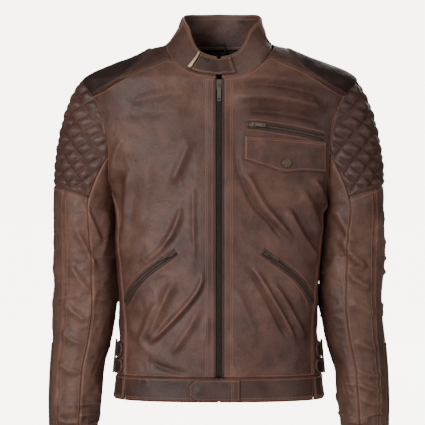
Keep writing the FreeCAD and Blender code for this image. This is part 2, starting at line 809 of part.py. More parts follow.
def pocket_zip(points, side, width, slider_off):
    """Chain on the shell, with its slider at the start of an arc over it."""
    steps = POCKET_ZIP_STEPS
    place_at = by_length(torso_line(points, 5, side), torso)
    middle = [place_at(part) for part in spread(0, 1, steps)]
    middle_points = [torso(*spot) for spot in middle]
    near, far = [], []
    for i in range(steps + 1):
        along = (middle_points[min(i + 1, steps)]
                 - middle_points[max(i - 1, 0)])
        across = torso_normal(*middle[i]).cross(along).normalize()
        across = across * (width / 2)
        for edge, point in ((near, middle_points[i] + across),
                            (far, middle_points[i] - across)):
            edge.append((side * phi_of(abs(point.x), point.z), point.z))
    chain = zip_chain(near, far, 21)

    length = sum((middle_points[i + 1] - middle_points[i]).Length
                 for i in range(steps))
    lead = POCKET_ZIP_LEAD / length

    def run_point(part, offset):
        return torso_off(*place_at(part), offset)

    # the arc is lifted until no part of the zip stands through it
    lift = 0.0
    for _ in range(4):
        start, halfway, end = [run_point(part, slider_off + lift)
                               for part in (lead, 0.5, 1 - lead)]
        circle = Part.Arc(start, halfway, end).toShape().Curve
        centre, radius = circle.Center, circle.Radius
        excess = max((run_point(part, slider_off) - centre).Length - radius
                     for part in spread(lead, 1 - lead, 40))
        if excess < 0.05:
            break
        lift += excess
    axis = (start - centre).cross(halfway - centre).normalize()
    outward = (start - centre).normalize()
    towards_end = axis.cross(outward)
    return (chain,) + slider_and_pull(start, towards_end * -1, outward)


FRONT_ZIP_LOW_Z = BAND_H + 3.0
FRONT_ZIP_TOP_Z = 557.0
FRONT_SLIDER_Z = 551.0
FRONT_SLIDER_T = 1.8


def front_zip_point(x, z, offset):
    return Vector(x, ZIP_Y + ZIP_SLOPE * z - offset, z)


def front_zip_strip(side, x_span, low_z, offsets):
    """Flat strip on the leaning line of the front zip."""
    def face(offset):
        return lambda across, up: front_zip_point(
            side * (x_span[0] + (x_span[1] - x_span[0]) * across),
            low_z + (FRONT_ZIP_TOP_Z - low_z) * up, offset)
    return skin(face(offsets[0]), face(offsets[1]), (2, 2))


def front_zip_tape(side):
    """Cloth tape behind the leather."""
    return front_zip_strip(side, (0.6, 13.5), FRONT_ZIP_LOW_Z, (-3.5, -4.3))


def front_zip_teeth(side):
    """Teeth in the gap between the leather edges."""
    return front_zip_strip(side, (0.25, 3.1), FRONT_ZIP_LOW_Z + 4,
                           (-0.6, -2.6))


def place_on_front_zip(shape):
    up = Vector(0, ZIP_SLOPE, 1).normalize()
    outward = Vector(0, -1, ZIP_SLOPE).normalize()
    origin = front_zip_point(0, FRONT_SLIDER_Z, 0) + outward * 0.6
    return place(shape, origin, up, outward)


def front_zip_slider():
    body = slider_body(length=17.0, width=9.0, thick=FRONT_SLIDER_T)
    left_flange = box((-7.5, 7.5), (-4.3, -3.5), (-2.8, 0.5))
    return place_on_front_zip(body.fuse(left_flange).removeSplitter())


def front_zip_pull():
    return place_on_front_zip(pull_body(
        length=30.0, width=7.0, thick=1.4, slider_thick=FRONT_SLIDER_T,
        hole_radius=2.0))


# ------------------------------------------------- flap pocket, straps, snaps
# x, z of the flap's edges, from the middle of the chest outwards
FLAP_TOP = [(44.0, 462), (90, 459.5), (140, 456), (186.0, 452)]
FLAP_BOTTOM = [(44.0, 420), (80, 409), (114, 398), (142, 400.5), (186.0, 399)]
FLAP_SNAP = (phi_of(116, 414), 414.0)
SNAP_R = 8.0           # press stud cap radius
SNAP_CAP_H = 2.0
STUD_R = 4.5
UP = Vector(0, 0, 1)
STRAP_RISE = (0.12, 0.86)      # lower and upper edge of the collar strap
TAB_Z = 21                     # middle of the waist tab
TAB_Z_SPAN = (3.0, 40.0)


def pocket_flap():
    return panel(torso_line(FLAP_BOTTOM, 4), torso_line(FLAP_TOP, 4),
                 torso_line([FLAP_BOTTOM[0], FLAP_TOP[0]], 4),
                 torso_line([FLAP_BOTTOM[-1], FLAP_TOP[-1]], 4),
                 (13, 5), offsets=(3.6, 1.4))


def flap_snap_cap():
    cap = Part.makeCylinder(SNAP_R, SNAP_CAP_H)
    cap = cap.makeFillet(1.2, [edge for edge in cap.Edges
                               if edge.BoundBox.ZMin > SNAP_CAP_H - 0.1])
    return place(cap, torso_off(*FLAP_SNAP, 4.0), UP,
                 torso_normal(*FLAP_SNAP))


def flap_snap_stud():
    return place(Part.makeCylinder(STUD_R, 0.7), torso_off(*FLAP_SNAP, 0.35),
                 UP, torso_normal(*FLAP_SNAP))


def snap_studs_right():
    """One stud under the collar strap, one under the waist tab."""
    stud = Part.makeCylinder(STUD_R, 0.9)
    on_collar = (-22.0, 0.45)
    on_waist = (phi_of(-33, TAB_Z), TAB_Z)
    return Part.makeCompound([
        place(stud, collar_off(*on_collar, 0.5), UP,
              collar_normal(*on_collar)),
        place(stud, torso_off(*on_waist, 1.4), UP, torso_normal(*on_waist))])


def collar_patch(start_phi, end_phi, offsets, columns):
    """Piece over the collar, as high as the collar strap."""
    angles = spread(start_phi, end_phi, 8)
    low, high = STRAP_RISE
    return band(level(angles, low), level(angles, high), 3, (columns, 3),
                offsets=offsets, surface=collar_off)


def waist_tab():
    """Tab across the front of the waistband."""
    angles = spread(phi_of(-51, TAB_Z), phi_of(36, TAB_Z), 8)
    low, high = TAB_Z_SPAN
    return band(level(angles, low), level(angles, high), 3, (9, 3),
                offsets=(5.2, 2.8))


# ---------------------------------------------------------------- export
SIDED_PIECES = {
    "front_panel": front_panel,
    "side_panel": side_panel,
    "yoke": yoke,
    "waistband": waistband_front,
    "collar": collar_front,
    "lining": lining_front,
    "front_zip_tape": front_zip_tape,
    "front_zip_teeth": front_zip_teeth,
    "elbow_armour": elbow_armour,
}
for side, ending in SIDES:
    for name, build in SIDED_PIECES.items():
        export(name + ending, build(side))
    for name, layout in SLEEVE_PIECES.items():
        export(name + ending, sleeve_piece(side, *layout))
    export_zip("cuff", ending, cuff_zip(side))
    export_zip("hand", ending,
               pocket_zip(HAND_ZIP, side, width=9.0, slider_off=3.9))

export_zip("chest", "", pocket_zip(CHEST_ZIP, 1, width=8.0, slider_off=2.9))
export("back_panel", back_panel())
export("waistband_back", waistband_back())
export("collar_back", collar_back())
export("lining_back", lining_back())
export("back_protector", back_protector())
export("hang_loop", hang_loop())
export("waist_straps", on_all_straps(waist_strap))
export("waist_buckles", on_all_straps(waist_buckle))
export("pocket_flap", pocket_flap())
export("flap_snap_cap", flap_snap_cap())
export("flap_snap_stud", flap_snap_stud())
export("front_zip_slider", front_zip_slider())
export("front_zip_pull", front_zip_pull())
export("collar_strap", collar_patch(-29.5, 18.5, (4.6, 2.4), 9))
export("collar_strap_bar", collar_patch(-33.0, -30.3, (5.0, 2.2), 3))
export("snap_studs_right", snap_studs_right())
export("waist_tab", waist_tab())
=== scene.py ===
"""Leather motorcycle jacket, modelled over its CAD pieces.

Shapes are worked out in millimetres from the centre of the hem and written as
meshes in metres. +Z is up, the front faces -Y and the wearer's left is +X.

Torso and collar angles are in degrees: 0 at the front, 90 at the wearer's left,
180 at the back. Sleeve angles are 0 on the outside of the arm (the top of the
armhole), 90 at its front and -90 at its back.
"""
import bpy
import json
import math
import numpy as np
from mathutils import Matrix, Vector
from mathutils.kdtree import KDTree

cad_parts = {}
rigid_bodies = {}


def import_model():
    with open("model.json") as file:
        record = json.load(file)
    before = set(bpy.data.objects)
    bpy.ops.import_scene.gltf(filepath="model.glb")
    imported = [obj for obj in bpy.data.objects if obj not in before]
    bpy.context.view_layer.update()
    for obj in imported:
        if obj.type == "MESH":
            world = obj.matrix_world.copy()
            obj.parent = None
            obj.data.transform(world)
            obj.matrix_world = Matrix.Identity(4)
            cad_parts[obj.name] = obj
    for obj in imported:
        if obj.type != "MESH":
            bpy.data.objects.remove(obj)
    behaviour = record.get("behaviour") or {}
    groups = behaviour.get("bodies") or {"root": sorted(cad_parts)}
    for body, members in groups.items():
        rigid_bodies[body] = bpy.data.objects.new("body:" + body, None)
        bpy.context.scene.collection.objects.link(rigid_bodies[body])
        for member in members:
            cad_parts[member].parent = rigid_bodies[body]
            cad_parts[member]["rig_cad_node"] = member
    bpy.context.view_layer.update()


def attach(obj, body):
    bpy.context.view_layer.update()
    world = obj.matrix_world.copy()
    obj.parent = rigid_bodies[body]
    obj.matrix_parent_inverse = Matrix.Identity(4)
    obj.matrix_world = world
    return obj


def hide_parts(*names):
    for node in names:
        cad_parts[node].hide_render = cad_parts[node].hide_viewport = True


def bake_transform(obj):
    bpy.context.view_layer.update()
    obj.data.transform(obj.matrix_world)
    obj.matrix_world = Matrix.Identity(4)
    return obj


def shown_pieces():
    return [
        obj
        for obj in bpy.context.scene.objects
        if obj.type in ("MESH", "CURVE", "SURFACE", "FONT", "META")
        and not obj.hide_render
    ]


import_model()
thread_random = np.random.RandomState(7)

# ---------------------------------------------------------------- dimensions
ORIGIN = np.array([0.0, 5.0, 95.1])   # added to every point before writing
SIDES = ((1, "left"), (-1, "right"))
STEP = 2.3          # mesh spacing
GAP = 0.08                            # half the gap between two panels
SEAM_GAP = 0.15                       # the same at the side seams, in degrees
SQUARENESS = 2.5                      # superellipse power of the torso section

BAND_H = 43.0                         # waistband
PANEL_Z = BAND_H + GAP                # lower edge of the panels above it
SIDE_SEAM_X = 165.0                   # front to side panel, at the waistband
BACK_SEAM = 112.0                     # side to back panel, in degrees
BACK_YOKE_Z = 520                     # lower edge of the yoke at centre back
ZIP_Y0, ZIP_SLOPE = -122.0, 0.045     # front zip: y at the hem, y per height
ARM_Z, ARM_H, ARM_W = 456.0, 104.0, 17.0   # armhole: centre, half height, half angle
RING_Z, CUFF_Z = 330.0, -95.0         # underarm ring and cuff heights
UNDER_SEAM = 105                      # sleeve angle of the under-sleeve seams
SLEEVE_SEAM = 53.0                    # sleeve angle of the double-stitched seam
CUFF_ZIP = 18.0                       # sleeve angle of the cuff zip

# (height, half width of the torso)
HALF_WIDTH = [
    (-20, 186), (0, 186), (43, 182), (120, 176), (175, 178), (230, 180), (262, 182),
    (300, 183), (330, 185), (352, 190), (400, 208), (455, 224), (500, 232), (540, 239),
    (560, 242), (574, 226), (588, 194), (602, 159), (616, 124), (625, 92), (640, 60)]
# (height, depth of the torso in front of and behind its axis)
FRONT_DEPTH = [
    (-20, 122.9), (0, 122.0), (100, 117.5), (200, 113.0), (300, 108.5), (400, 104.0),
    (500, 99.5), (562, 96.7), (580, 88), (597, 76), (612, 62), (625, 46), (640, 30)]
BACK_DEPTH = [
    (-20, 104), (0, 104), (43, 102), (120, 100), (230, 106), (350, 115), (440, 117),
    (490, 113), (540, 102), (580, 90), (600, 77), (612, 67), (625, 58), (640, 50)]
# (torso angle, height)
NECK_SEAM = [
    (0, 561), (17, 564), (29.5, 571), (38.6, 581), (46.5, 592), (55, 605), (69.5, 619),
    (90, 624.5), (118, 624), (134, 623.5), (155, 622.5), (180, 622)]
COLLAR_TOP = [(0, 600), (19, 605), (36, 614), (47, 630), (56, 648), (90, 668), (120, 676),
              (180, 679)]
# (height, centre x, half width, centre y, half depth)
SLEEVE = [
    (330, 243.5, 50.5, 5, 66), (252, 239, 55, 7, 63), (215, 238, 56, 7, 61),
    (168, 237.5, 56, 5, 58), (112, 242, 53, 0, 54), (42, 253, 46, -10, 48),
    (0, 255, 45, -15, 45), (-42, 257, 42, -20, 41), (-96, 259, 39, -26, 37)]
# Lines on the wearer's left front, (x, height); the hand pocket is mirrored too
YOKE_SEAM = [(88, 598), (101, 590), (138, 575), (171, 560), (198, 544)]
HAND_POCKET = [(75, 261), (95, 246), (113, 233), (131, 218), (147, 200), (159, 180),
               (163, 170)]
CHEST_POCKET = [(49, 481), (75, 479), (107, 474), (142, 468), (182, 459)]
# Upper layer of the yoke: its front edge
OVERLAY_EDGE = [(118, 620), (129, 605), (140, 589), (160, 572), (186, 554), (206, 544),
                (230, 529)]
FLAP_X0, FLAP_X1 = 44.0, 186.0
FLAP_TOP = [(FLAP_X0, 462), (90, 459.5), (140, 456), (FLAP_X1, 452)]
FLAP_BOTTOM = [(FLAP_X0, 420), (80, 409), (114, 398), (142, 400.5), (FLAP_X1, 399)]


# -------------------------------------------------------------- basic maths
def ease(value, start, end):
    """Smooth step from 0 at start to 1 at end."""
    t = np.clip((value - start) / (end - start), 0, 1)
    return t * t * (3 - 2 * t)


def hump(distance, width):
    return np.exp(-(distance / width) ** 2)


def unit(vectors):
    return vectors / np.maximum(np.linalg.norm(vectors, axis=-1, keepdims=True), 1e-9)


def sin_cos(degrees):
    return np.sin(np.radians(degrees)), np.cos(np.radians(degrees))


def points(x, y, z):
    return np.stack(np.broadcast_arrays(np.asarray(x, float), y, z), -1)


def split_xyz(pts):
    return np.moveaxis(pts, -1, 0)


def curve(table):
    """Monotone cubic through (x, y) rows, level beyond its ends."""
    xs, ys = np.array(sorted(table), float).T
    width, count = np.diff(xs), len(xs)
    slope = np.diff(ys) / width
    tangent = np.zeros(count)
    tangent[0], tangent[-1] = slope[0], slope[-1]
    for i in range(1, count - 1):
        if slope[i - 1] * slope[i] > 0:
            before, after = 2 * width[i] + width[i - 1], width[i] + 2 * width[i - 1]
            tangent[i] = (before + after) / (before / slope[i - 1] + after / slope[i])

    def value(x):
        x = np.clip(np.asarray(x, float), xs[0], xs[-1])
        i = np.clip(np.searchsorted(xs, x) - 1, 0, count - 2)
        t = (x - xs[i]) / width[i]
        return (ys[i] * (1 + 2 * t) * (1 - t) ** 2
                + width[i] * tangent[i] * t * (1 - t) ** 2
                + ys[i + 1] * t * t * (3 - 2 * t)
                + width[i] * tangent[i + 1] * t * t * (t - 1))
    return value


def line(start, end, count=12):
    return [(start[0] + (end[0] - start[0]) * i / count,
             start[1] + (end[1] - start[1]) * i / count) for i in range(count + 1)]


def smooth_line(pts, steps=6):
    """Catmull-Rom curve through a few points."""
    pts = np.array(pts, float)
    pts = np.vstack([2 * pts[0] - pts[1], pts, 2 * pts[-1] - pts[-2]])
    path = []
    for before, start, end, after in zip(pts, pts[1:], pts[2:], pts[3:]):
        for k in range(steps):
            t = k / steps
            path.append(tuple(0.5 * (
                2 * start + (end - before) * t
                + (2 * before - 5 * start + 4 * end - after) * t * t
                + (3 * start - before - 3 * end + after) * t ** 3)))
    path.append(tuple(pts[-2]))
    return path


def line_dist(x, z, path):
    """Distance to a polyline, side of it (+1 left), share of its length reached."""
    best = np.full(x.shape, 1e9)
    side, share = np.zeros(x.shape), np.zeros(x.shape)
    lengths = [math.dist(start, end) for start, end in zip(path, path[1:])]
    done = 0.0
    for (x0, z0), (x1, z1), length in zip(path, path[1:], lengths):
        dx, dz = x1 - x0, z1 - z0
        t = np.clip(((x - x0) * dx + (z - z0) * dz) / length ** 2, 0, 1)
        distance = np.hypot(x - x0 - t * dx, z - z0 - t * dz)
        near = distance < best
        best = np.where(near, distance, best)
        side = np.where(near, np.sign(dx * (z - z0) - dz * (x - x0)), side)
        share = np.where(near, (done + t * length) / sum(lengths), share)
        done += length
    return best, side, share


LATTICE = np.random.RandomState(3).permutation(512)


def noise(x, y, z=0.0):
    """Smooth value noise, about -1 to 1."""
    cells = [np.floor(q).astype(int) for q in (x, y, z)]
    parts = [q - cell for q, cell in zip((x, y, z), cells)]
    blend_x, blend_y, blend_z = (q * q * q * (q * (q * 6 - 15) + 10) for q in parts)
    total = 0
    for i in (0, 1):
        for j in (0, 1):
            for k in (0, 1):
                corner = LATTICE[(cells[0] + i) & 511]
                corner = LATTICE[(corner + cells[1] + j) & 511]
                corner = LATTICE[(corner + cells[2] + k) & 511] / 255.5 - 1
                total = total + (corner * (blend_x if i else 1 - blend_x)
                                 * (blend_y if j else 1 - blend_y)
                                 * (blend_z if k else 1 - blend_z))
    return total


def ridged(x, y, z=0.0):
    return 1 - 2 * np.abs(noise(x, y, z))


# ------------------------------------------------------------ base surfaces
half_width, front_depth, back_depth = map(curve, (HALF_WIDTH, FRONT_DEPTH, BACK_DEPTH))
neck_z, collar_top_z = curve(NECK_SEAM), curve(COLLAR_TOP)
sleeve_x, sleeve_half, sleeve_y, sleeve_depth = (
    curve([(row[0], row[k]) for row in SLEEVE]) for k in (1, 2, 3, 4))


def torso(phi, z):
    sin, cos = sin_cos(phi)
    depth = np.where(cos >= 0, front_depth(z), back_depth(z))
    radius = (np.abs(sin / half_width(z)) ** SQUARENESS
              + np.abs(cos / depth) ** SQUARENESS) ** (-1.0 / SQUARENESS)
    return points(radius * sin, -radius * cos, z)


def phi_of(x, z):
    """Angle of the point on the front of the torso at x."""
    share = np.minimum(np.abs(x) / half_width(z), 1.0)
    y = front_depth(z) * (1 - share ** SQUARENESS) ** (1 / SQUARENESS)
    return np.copysign(np.degrees(np.arctan2(np.abs(x), y)), x)


def collar(phi, level):
    """Collar surface; level is 0 at the neck seam and 1 at the top edge."""
    phi = np.where(phi > 180, phi - 360, phi)
    seam_z = neck_z(np.abs(phi)) + 1.4
    foot = torso(phi, seam_z - 1.0)
    sin, cos = sin_cos(phi)
    flare = ease(np.abs(phi), 32, 87)
    top_half_width = 60 + flare * np.where(phi > 0, 15, 5)
    top = points(top_half_width * sin, -10 - np.where(cos > 0, 66, 62) * cos,
                 collar_top_z(np.abs(phi)) + 5.0 * flare)
    lean = 1.3 * level - 0.3 * level * level
    pts = foot + (top - foot) * lean[..., None]
    pts[..., 2] = seam_z + (top[..., 2] - seam_z) * level
    return pts


def armhole(angle, grow=0.0):
    """Torso angle and height on the armhole, widened by grow."""
    sin, cos = sin_cos(angle)
    return 90 - (ARM_W + math.degrees(grow / 200.0)) * sin, ARM_Z + (ARM_H + grow) * cos


def sleeve(angle, along):
    """Wearer's left sleeve; along is 0 at the armhole, 1 at the underarm ring, 2 at the cuff."""
    angle, along = np.broadcast_arrays(np.asarray(angle, float), np.asarray(along, float))
    sin, cos = sin_cos(angle)

    def ring(z):
        return points(sleeve_x(z) + sleeve_half(z) * cos,
                      sleeve_y(z) - sleeve_depth(z) * sin, z)

    # above the ring, a Hermite curve leaves the armhole outwards and ends straight down
    start, end = torso(*armhole(angle)), ring(RING_Z)
    span = np.linalg.norm(end - start, axis=-1)
    leave = unit(points(0.42 + 0.30 * cos, -0.16 * sin, -0.72 + 0.06 * cos))
    leave = leave * (span * 0.72)[..., None]
    arrive = points(0 * span, 0, -span)
    t = np.clip(along, -0.05, 1)[..., None]
    upper = (start * (2 * t ** 3 - 3 * t * t + 1) + leave * (t ** 3 - 2 * t * t + t)
             + end * (-2 * t ** 3 + 3 * t * t) + arrive * (t ** 3 - t * t))
    lower = ring(RING_Z + (CUFF_Z - RING_Z) * (along - 1))
    return np.where((along >= 1)[..., None], lower, upper)


def along_of(z):
    """Sleeve position at a height below the underarm ring."""
    return 1 + (RING_Z - z) / (RING_Z - CUFF_Z)


def with_normals(shape, step_u, step_v):
    """Surface function that gives points and outward-facing unit normals."""
    def surface(u, v):
        across = shape(u + step_u, v) - shape(u - step_u, v)
        upward = shape(u, v + step_v) - shape(u, v - step_v)
        return shape(u, v), unit(np.cross(across, upward))
    return surface


torso_surface = with_normals(torso, 0.4, 0.8)
collar_surface = with_normals(collar, 0.5, 0.02)
left_sleeve_surface = with_normals(sleeve, 0.8, 0.004)


def sleeve_surface(side):
    def surface(angle, along):
        pts, normals = left_sleeve_surface(angle, along)
        mirror = np.array([side, 1, 1.0])
        return pts * mirror, normals * mirror
    return surface


def on_front(path, side=1):
    """Points and normals of the torso front along an (x, height) line."""
    x, z = np.transpose(path)
    return torso_surface(phi_of(x * side, z), z)


# -------------------------------------------------------------------- folds
FOLD_GAIN = 1.65   # scales every fold
FOLD_FADE = 0.22   # share of a fold's length over which each end fades


class Fold:
    """Soft ridge along an (x, height) line.

    A positive lean cuts a valley to the left of the line in the x-z plane.
    """

    def __init__(self, height, width, lean, path):
        self.path = smooth_line(path) if len(path) > 2 else path
        self.height, self.width, self.lean = height, width, lean

    def __call__(self, x, z):
        reach = 3.2 * self.width
        x_low, z_low = np.min(self.path, 0) - reach
        x_high, z_high = np.max(self.path, 0) + reach
        near = (x > x_low) & (x < x_high) & (z > z_low) & (z < z_high)
        distance, side, share = line_dist(x[near], z[near], self.path)
        q = distance / self.width
        profile = np.exp(-q * q) \
            - self.lean * np.clip(side * q, 0, 9) * np.exp(-q * q * 0.8) * 1.2
        fade = ease(np.minimum(share, 1 - share), 0, FOLD_FADE)
        rise = np.zeros(x.shape)
        rise[near] = self.height * FOLD_GAIN * profile * fade
        return rise


# Rows: height (below 0 for a groove), width, lean, (x, height) points
FRONT_FOLDS = [Fold(*row) for row in (
    # wearer's right
    (2.0, 5, 0.8, [(-43.75, 381.5), (-43.75, 304.5), (-42, 241.5)]),
    (4.2, 6, 0.9, [(-26.25, 234.5), (-33.25, 199.5), (-61.25, 161), (-103.25, 117.25),
                   (-131.25, 92.75)]),
    (5.0, 9, 0.4, [(-73.5, 217), (-101.5, 157.5), (-126, 96.25)]),
    (3.6, 7, 0.4, [(-105, 178.5), (-124.25, 136.5), (-140, 91)]),
    (3.0, 8, 0.4, [(-29.75, 164.5), (-56, 120.75), (-84, 80.5)]),
    (1.6, 7, 0.2, [(-19.25, 154), (-24.5, 94.5)]),
    (3.4, 9, 0.3, [(-49, 458.5), (-61.25, 423.5), (-84, 374.5)]),
    (4.0, 7, 0.6, [(-64.75, 344.75), (-75.25, 304.5), (-103.25, 259), (-138.25, 232.75)]),
    (2.2, 14, 0.2, [(-120.75, 420), (-127.75, 350), (-138.25, 287)]),
    (3.2, 7, 0.4, [(-168, 458.5), (-182, 420), (-189, 374.5)]),
    (-3.0, 7, 0.0, [(-171.5, 406), (-175, 350), (-171.5, 283.5)]),
    (3.0, 8, 0.3, [(-157.5, 409.5), (-161, 341.25), (-164.5, 266)]),
    (-2.6, 5, 0.0, [(-120.75, 70), (-89.25, 57.75), (-50.75, 47.25)]),
    (2.2, 9, 0.3, [(-159.25, 143.5), (-138.25, 105), (-103.25, 77)]),
    (2.2, 10, 0.2, [(-161, 518), (-103.25, 532), (-40.25, 539)]),
    (1.6, 10, 0.2, [(-169.75, 493.5), (-120.75, 504), (-50.75, 504)]),
    # wearer's left
    (-3.2, 5, 0.0, [(22.75, 448), (38.5, 388.5), (61.25, 341.25), (89.25, 311.5),
                    (120.75, 267.75)]),
    (4.2, 8, 0.3, [(36.75, 437.5), (54.25, 385), (78.75, 339.5), (106.75, 306.25),
                   (138.25, 269.5)]),
    (4.6, 6, -0.7, [(113.75, 343), (131.25, 304.5), (152.25, 267.75), (175, 232.75)]),
    (3.4, 7, -0.5, [(141.75, 371), (161, 329), (173.25, 280)]),
    (3.4, 6, 0.4, [(162.75, 388.5), (178.5, 364), (185.5, 325.5)]),
    (-3.0, 4.5, 0.0, [(43.75, 241.5), (68.25, 203), (96.25, 154), (124.25, 98)]),
    (4.4, 6, 0.4, [(54.25, 241.5), (82.25, 196), (108.5, 150.5), (136.5, 92.75)]),
    (4.0, 7, 0.5, [(85.75, 217), (113.75, 175), (138.25, 129.5), (157.5, 87.5)]),
    (2.8, 8, 0.3, [(29.75, 203), (45.5, 157.5), (70, 101.5)]),
    (1.8, 9, 0.3, [(15.75, 122.5), (36.75, 91), (75.25, 66.5)]),
    (-4.2, 8, 0.0, [(22.75, 549.5), (80.5, 551.25), (141.75, 542.5), (197.75, 528.5)]),
    (5.0, 9, -0.2, [(15.75, 526.75), (80.5, 530.25), (141.75, 519.75), (194.25, 505.75)]),
    (-3.6, 7, 0.0, [(36.75, 504), (106.75, 502.25), (189, 486.5)]),
    (1.2, 10, 0.0, [(75.25, 437.5), (124.25, 416.5), (176.75, 420)]),
)]
SLEEVE_FOLDS = [Fold(*row) for row in (
    # wearer's right
    (3.4, 6, 0.6, [(-236.25, 344.75), (-222.25, 311.5), (-206.5, 267.75)]),
    (3.6, 6, 0.6, [(-250.25, 301), (-232.75, 266), (-213.5, 224)]),
    (3.0, 7, 0.5, [(-264.25, 241.5), (-243.25, 210), (-220.5, 182)]),
    (2.6, 6, 0.4, [(-201.25, 341.25), (-197.75, 294), (-208.25, 241.5)]),
    (2.6, 7, 0.5, [(-274.75, 175), (-253.75, 154), (-229.25, 136.5)]),
    (2.2, 7, 0.5, [(-278.25, 122.5), (-257.25, 105), (-236.25, 98)]),
    (1.8, 6, 0.4, [(-283.5, 66.5), (-264.25, 52.5), (-239.75, 49)]),
    (2.0, 6, 0.4, [(-211.75, 206.5), (-225.75, 157.5), (-232.75, 112)]),
    # wearer's left
    (3.2, 6, -0.6, [(203, 341.25), (220.5, 304.5), (239.75, 266)]),
    (3.6, 6, -0.6, [(213.5, 287), (232.75, 252), (260.75, 227.5)]),
    (3.2, 6, -0.5, [(222.25, 231), (243.25, 206.5), (271.25, 192.5)]),
    (2.4, 7, -0.5, [(229.25, 175), (250.25, 157.5), (276.5, 147)]),
    (2.0, 6, -0.4, [(238, 105), (260.75, 91), (281.75, 87.5)]),
    (2.0, 4, -0.3, [(241.5, 52.5), (264.25, 42), (288.75, 42)]),
    (2.0, 4, -0.3, [(243.25, 28), (266, 17.5), (290.5, 15.75)]),
    (1.8, 4, -0.3, [(246.75, 3.5), (267.75, -7), (292.25, -8.75)]),
    (2.0, 6, 0.3, [(292.25, 336), (281.75, 287), (287, 241.5)]),
)]
BACK_FOLDS = [Fold(*row) for row in (
    (4.0, 11, 0.4, [(-150, 330), (-90, 285), (-20, 262)]),
    (4.0, 11, -0.4, [(150, 322), (95, 280), (25, 255)]),
    (3.6, 10, 0.4, [(-160, 270), (-100, 215), (-40, 190)]),
    (3.6, 10, -0.4, [(160, 262), (105, 208), (45, 182)]),
    (3.2, 9, 0.3, [(-150, 190), (-110, 140), (-60, 110)]),
    (3.2, 9, -0.3, [(150, 182), (110, 132), (60, 104)]),
    (2.6, 12, 0.2, [(-120, 490), (-60, 470), (0, 462), (60, 468), (120, 488)]),
    (3.2, 10, 0.3, [(-160, 400), (-130, 440), (-110, 480)]),
    (3.2, 10, -0.3, [(160, 400), (130, 440), (110, 480)]),
    (2.6, 12, 0.2, [(-30, 240), (-34, 160), (-28, 80)]),
    (2.4, 12, 0.2, [(40, 230), (36, 150), (44, 75)]),
)]


# ----------------------------------------------------------- surface relief
def torso_relief(pts):
    """Height of folds and creases over the torso shell."""
    x, y, z = split_xyz(pts)
    rise = np.zeros(x.shape)
    for folds, facing in ((FRONT_FOLDS, ease(-y, 0, 30)), (BACK_FOLDS, ease(y, 0, 30))):
        for fold in folds:
            rise += fold(x, z) * facing
    # creases at the sides, then three scales of unevenness all round
    rise += (1 - np.clip(np.abs(y) / 70, 0, 1)) * 2.2 * noise(y / 40, z / 34 + 9)
    rise += 2.6 * noise(x / 95, z / 120, y / 95)
    rise += 1.5 * noise(x / 38 + 4, z / 55, y / 38)
    rise += 0.7 * noise(x / 18 + z / 40, z / 24 + 4, y / 18)
    # fullness below the arms
    rise += 1.6 * hump(z - 300, 90) * ease(np.abs(x), 150, 180)
    # fine wrinkles, in patches
    rise += 0.75 * ridged(x / 17 + z / 60, z / 21, y / 17) \
        * ease(noise(x / 60, z / 60, y / 60 + 3), -0.2, 0.6)
    # flatter beside the front zip and above the waistband
    rise *= 0.25 + 0.75 * ease(np.abs(x) + (y > 0) * 200, 6, 26)
    rise *= ease(z, 38, 62) * 0.85 + 0.15
    return rise


def shell_relief(pts):
    """Torso relief, flattened under the pockets, the flap and the waist straps."""
    x, y, z = split_xyz(pts)
    keep = np.ones(x.shape)
    for path, side in ((HAND_POCKET, 1), (HAND_POCKET, -1), (CHEST_POCKET, 1)):
        keep = keep * ease(line_dist(x * side, z, path)[0], 8, 24)
    flap_dx = np.maximum(np.maximum(FLAP_X0 - x, x - FLAP_X1), 0)
    flap_dz = np.maximum(np.maximum(398 - z, z - 462), 0)
    keep = keep * (0.12 + 0.88 * ease(np.hypot(flap_dx, flap_dz), 0, 16))
    keep = np.where(y < 0, keep, 1.0)
    strap_dx = np.maximum(150 - np.abs(x), 0)
    strap_dz = np.maximum(z - 102, 0)
    keep *= 0.10 + 0.90 * ease(np.hypot(strap_dx, strap_dz), 0, 22)
    return torso_relief(pts) * keep


def sleeve_relief(pts):
    """Height of folds and creases over either sleeve."""
    x, y, z = split_xyz(pts)
    side = np.sign(x)
    centre_y = sleeve_y(z)
    front = ease(centre_y - y, -6, 22)
    rise = np.zeros(x.shape)
    for fold in SLEEVE_FOLDS:
        rise += fold(x, z) * front
    turn = np.arctan2(y - centre_y, np.abs(x) - sleeve_x(z))
    arc = turn * 55
    # wrinkles across the elbow, strongest at the back, and above the cuff
    wrinkle = np.clip(ridged(arc / 70 + side * 3.3, z / 26 + 0.4 * np.sin(turn)), 0, 1)
    rise += hump(z - 205, 75) * 5.6 * (ease(wrinkle, 0.15, 1.0) - 0.3) \
        * (0.30 + 0.70 * (1 - front))
    wrinkle = np.clip(ridged(arc / 60 + side * 1.7, z / 17 + 7), 0, 1)
    rise += hump(z + 30, 55) * 3.6 * (ease(wrinkle, 0.15, 1.0) - 0.3)
    rise += 2.4 * noise(arc / 60 + side, z / 85)
    # fullness on the inner side
    inner = np.clip(-np.cos(turn), 0, 1) ** 3
    rise += inner * (4.2 * hump(z - 262, 85) + 4.6 * hump(z - 332, 40)
                     + 2.6 * hump(z - 195, 35))
    # finer unevenness, then calmer at the cuff edge
    rise += 1.4 * noise(arc / 30, z / 38 + side * 2)
    rise += 0.6 * ridged(arc / 14 + z / 50, z / 17 + side)
    rise *= 0.35 + 0.65 * ease(z, -95, -70)
    return rise


def band_relief(pts):
    """Waistband: gathers towards its top and a soft unevenness."""
    x, y, z = split_xyz(pts)
    gathers = noise(x / 7.0, z / 60.0, y / 7.0) * ease(z, 18, 42) * 0.9
    return 1.0 + gathers + 0.7 * noise(x / 30, z / 22, y / 30)


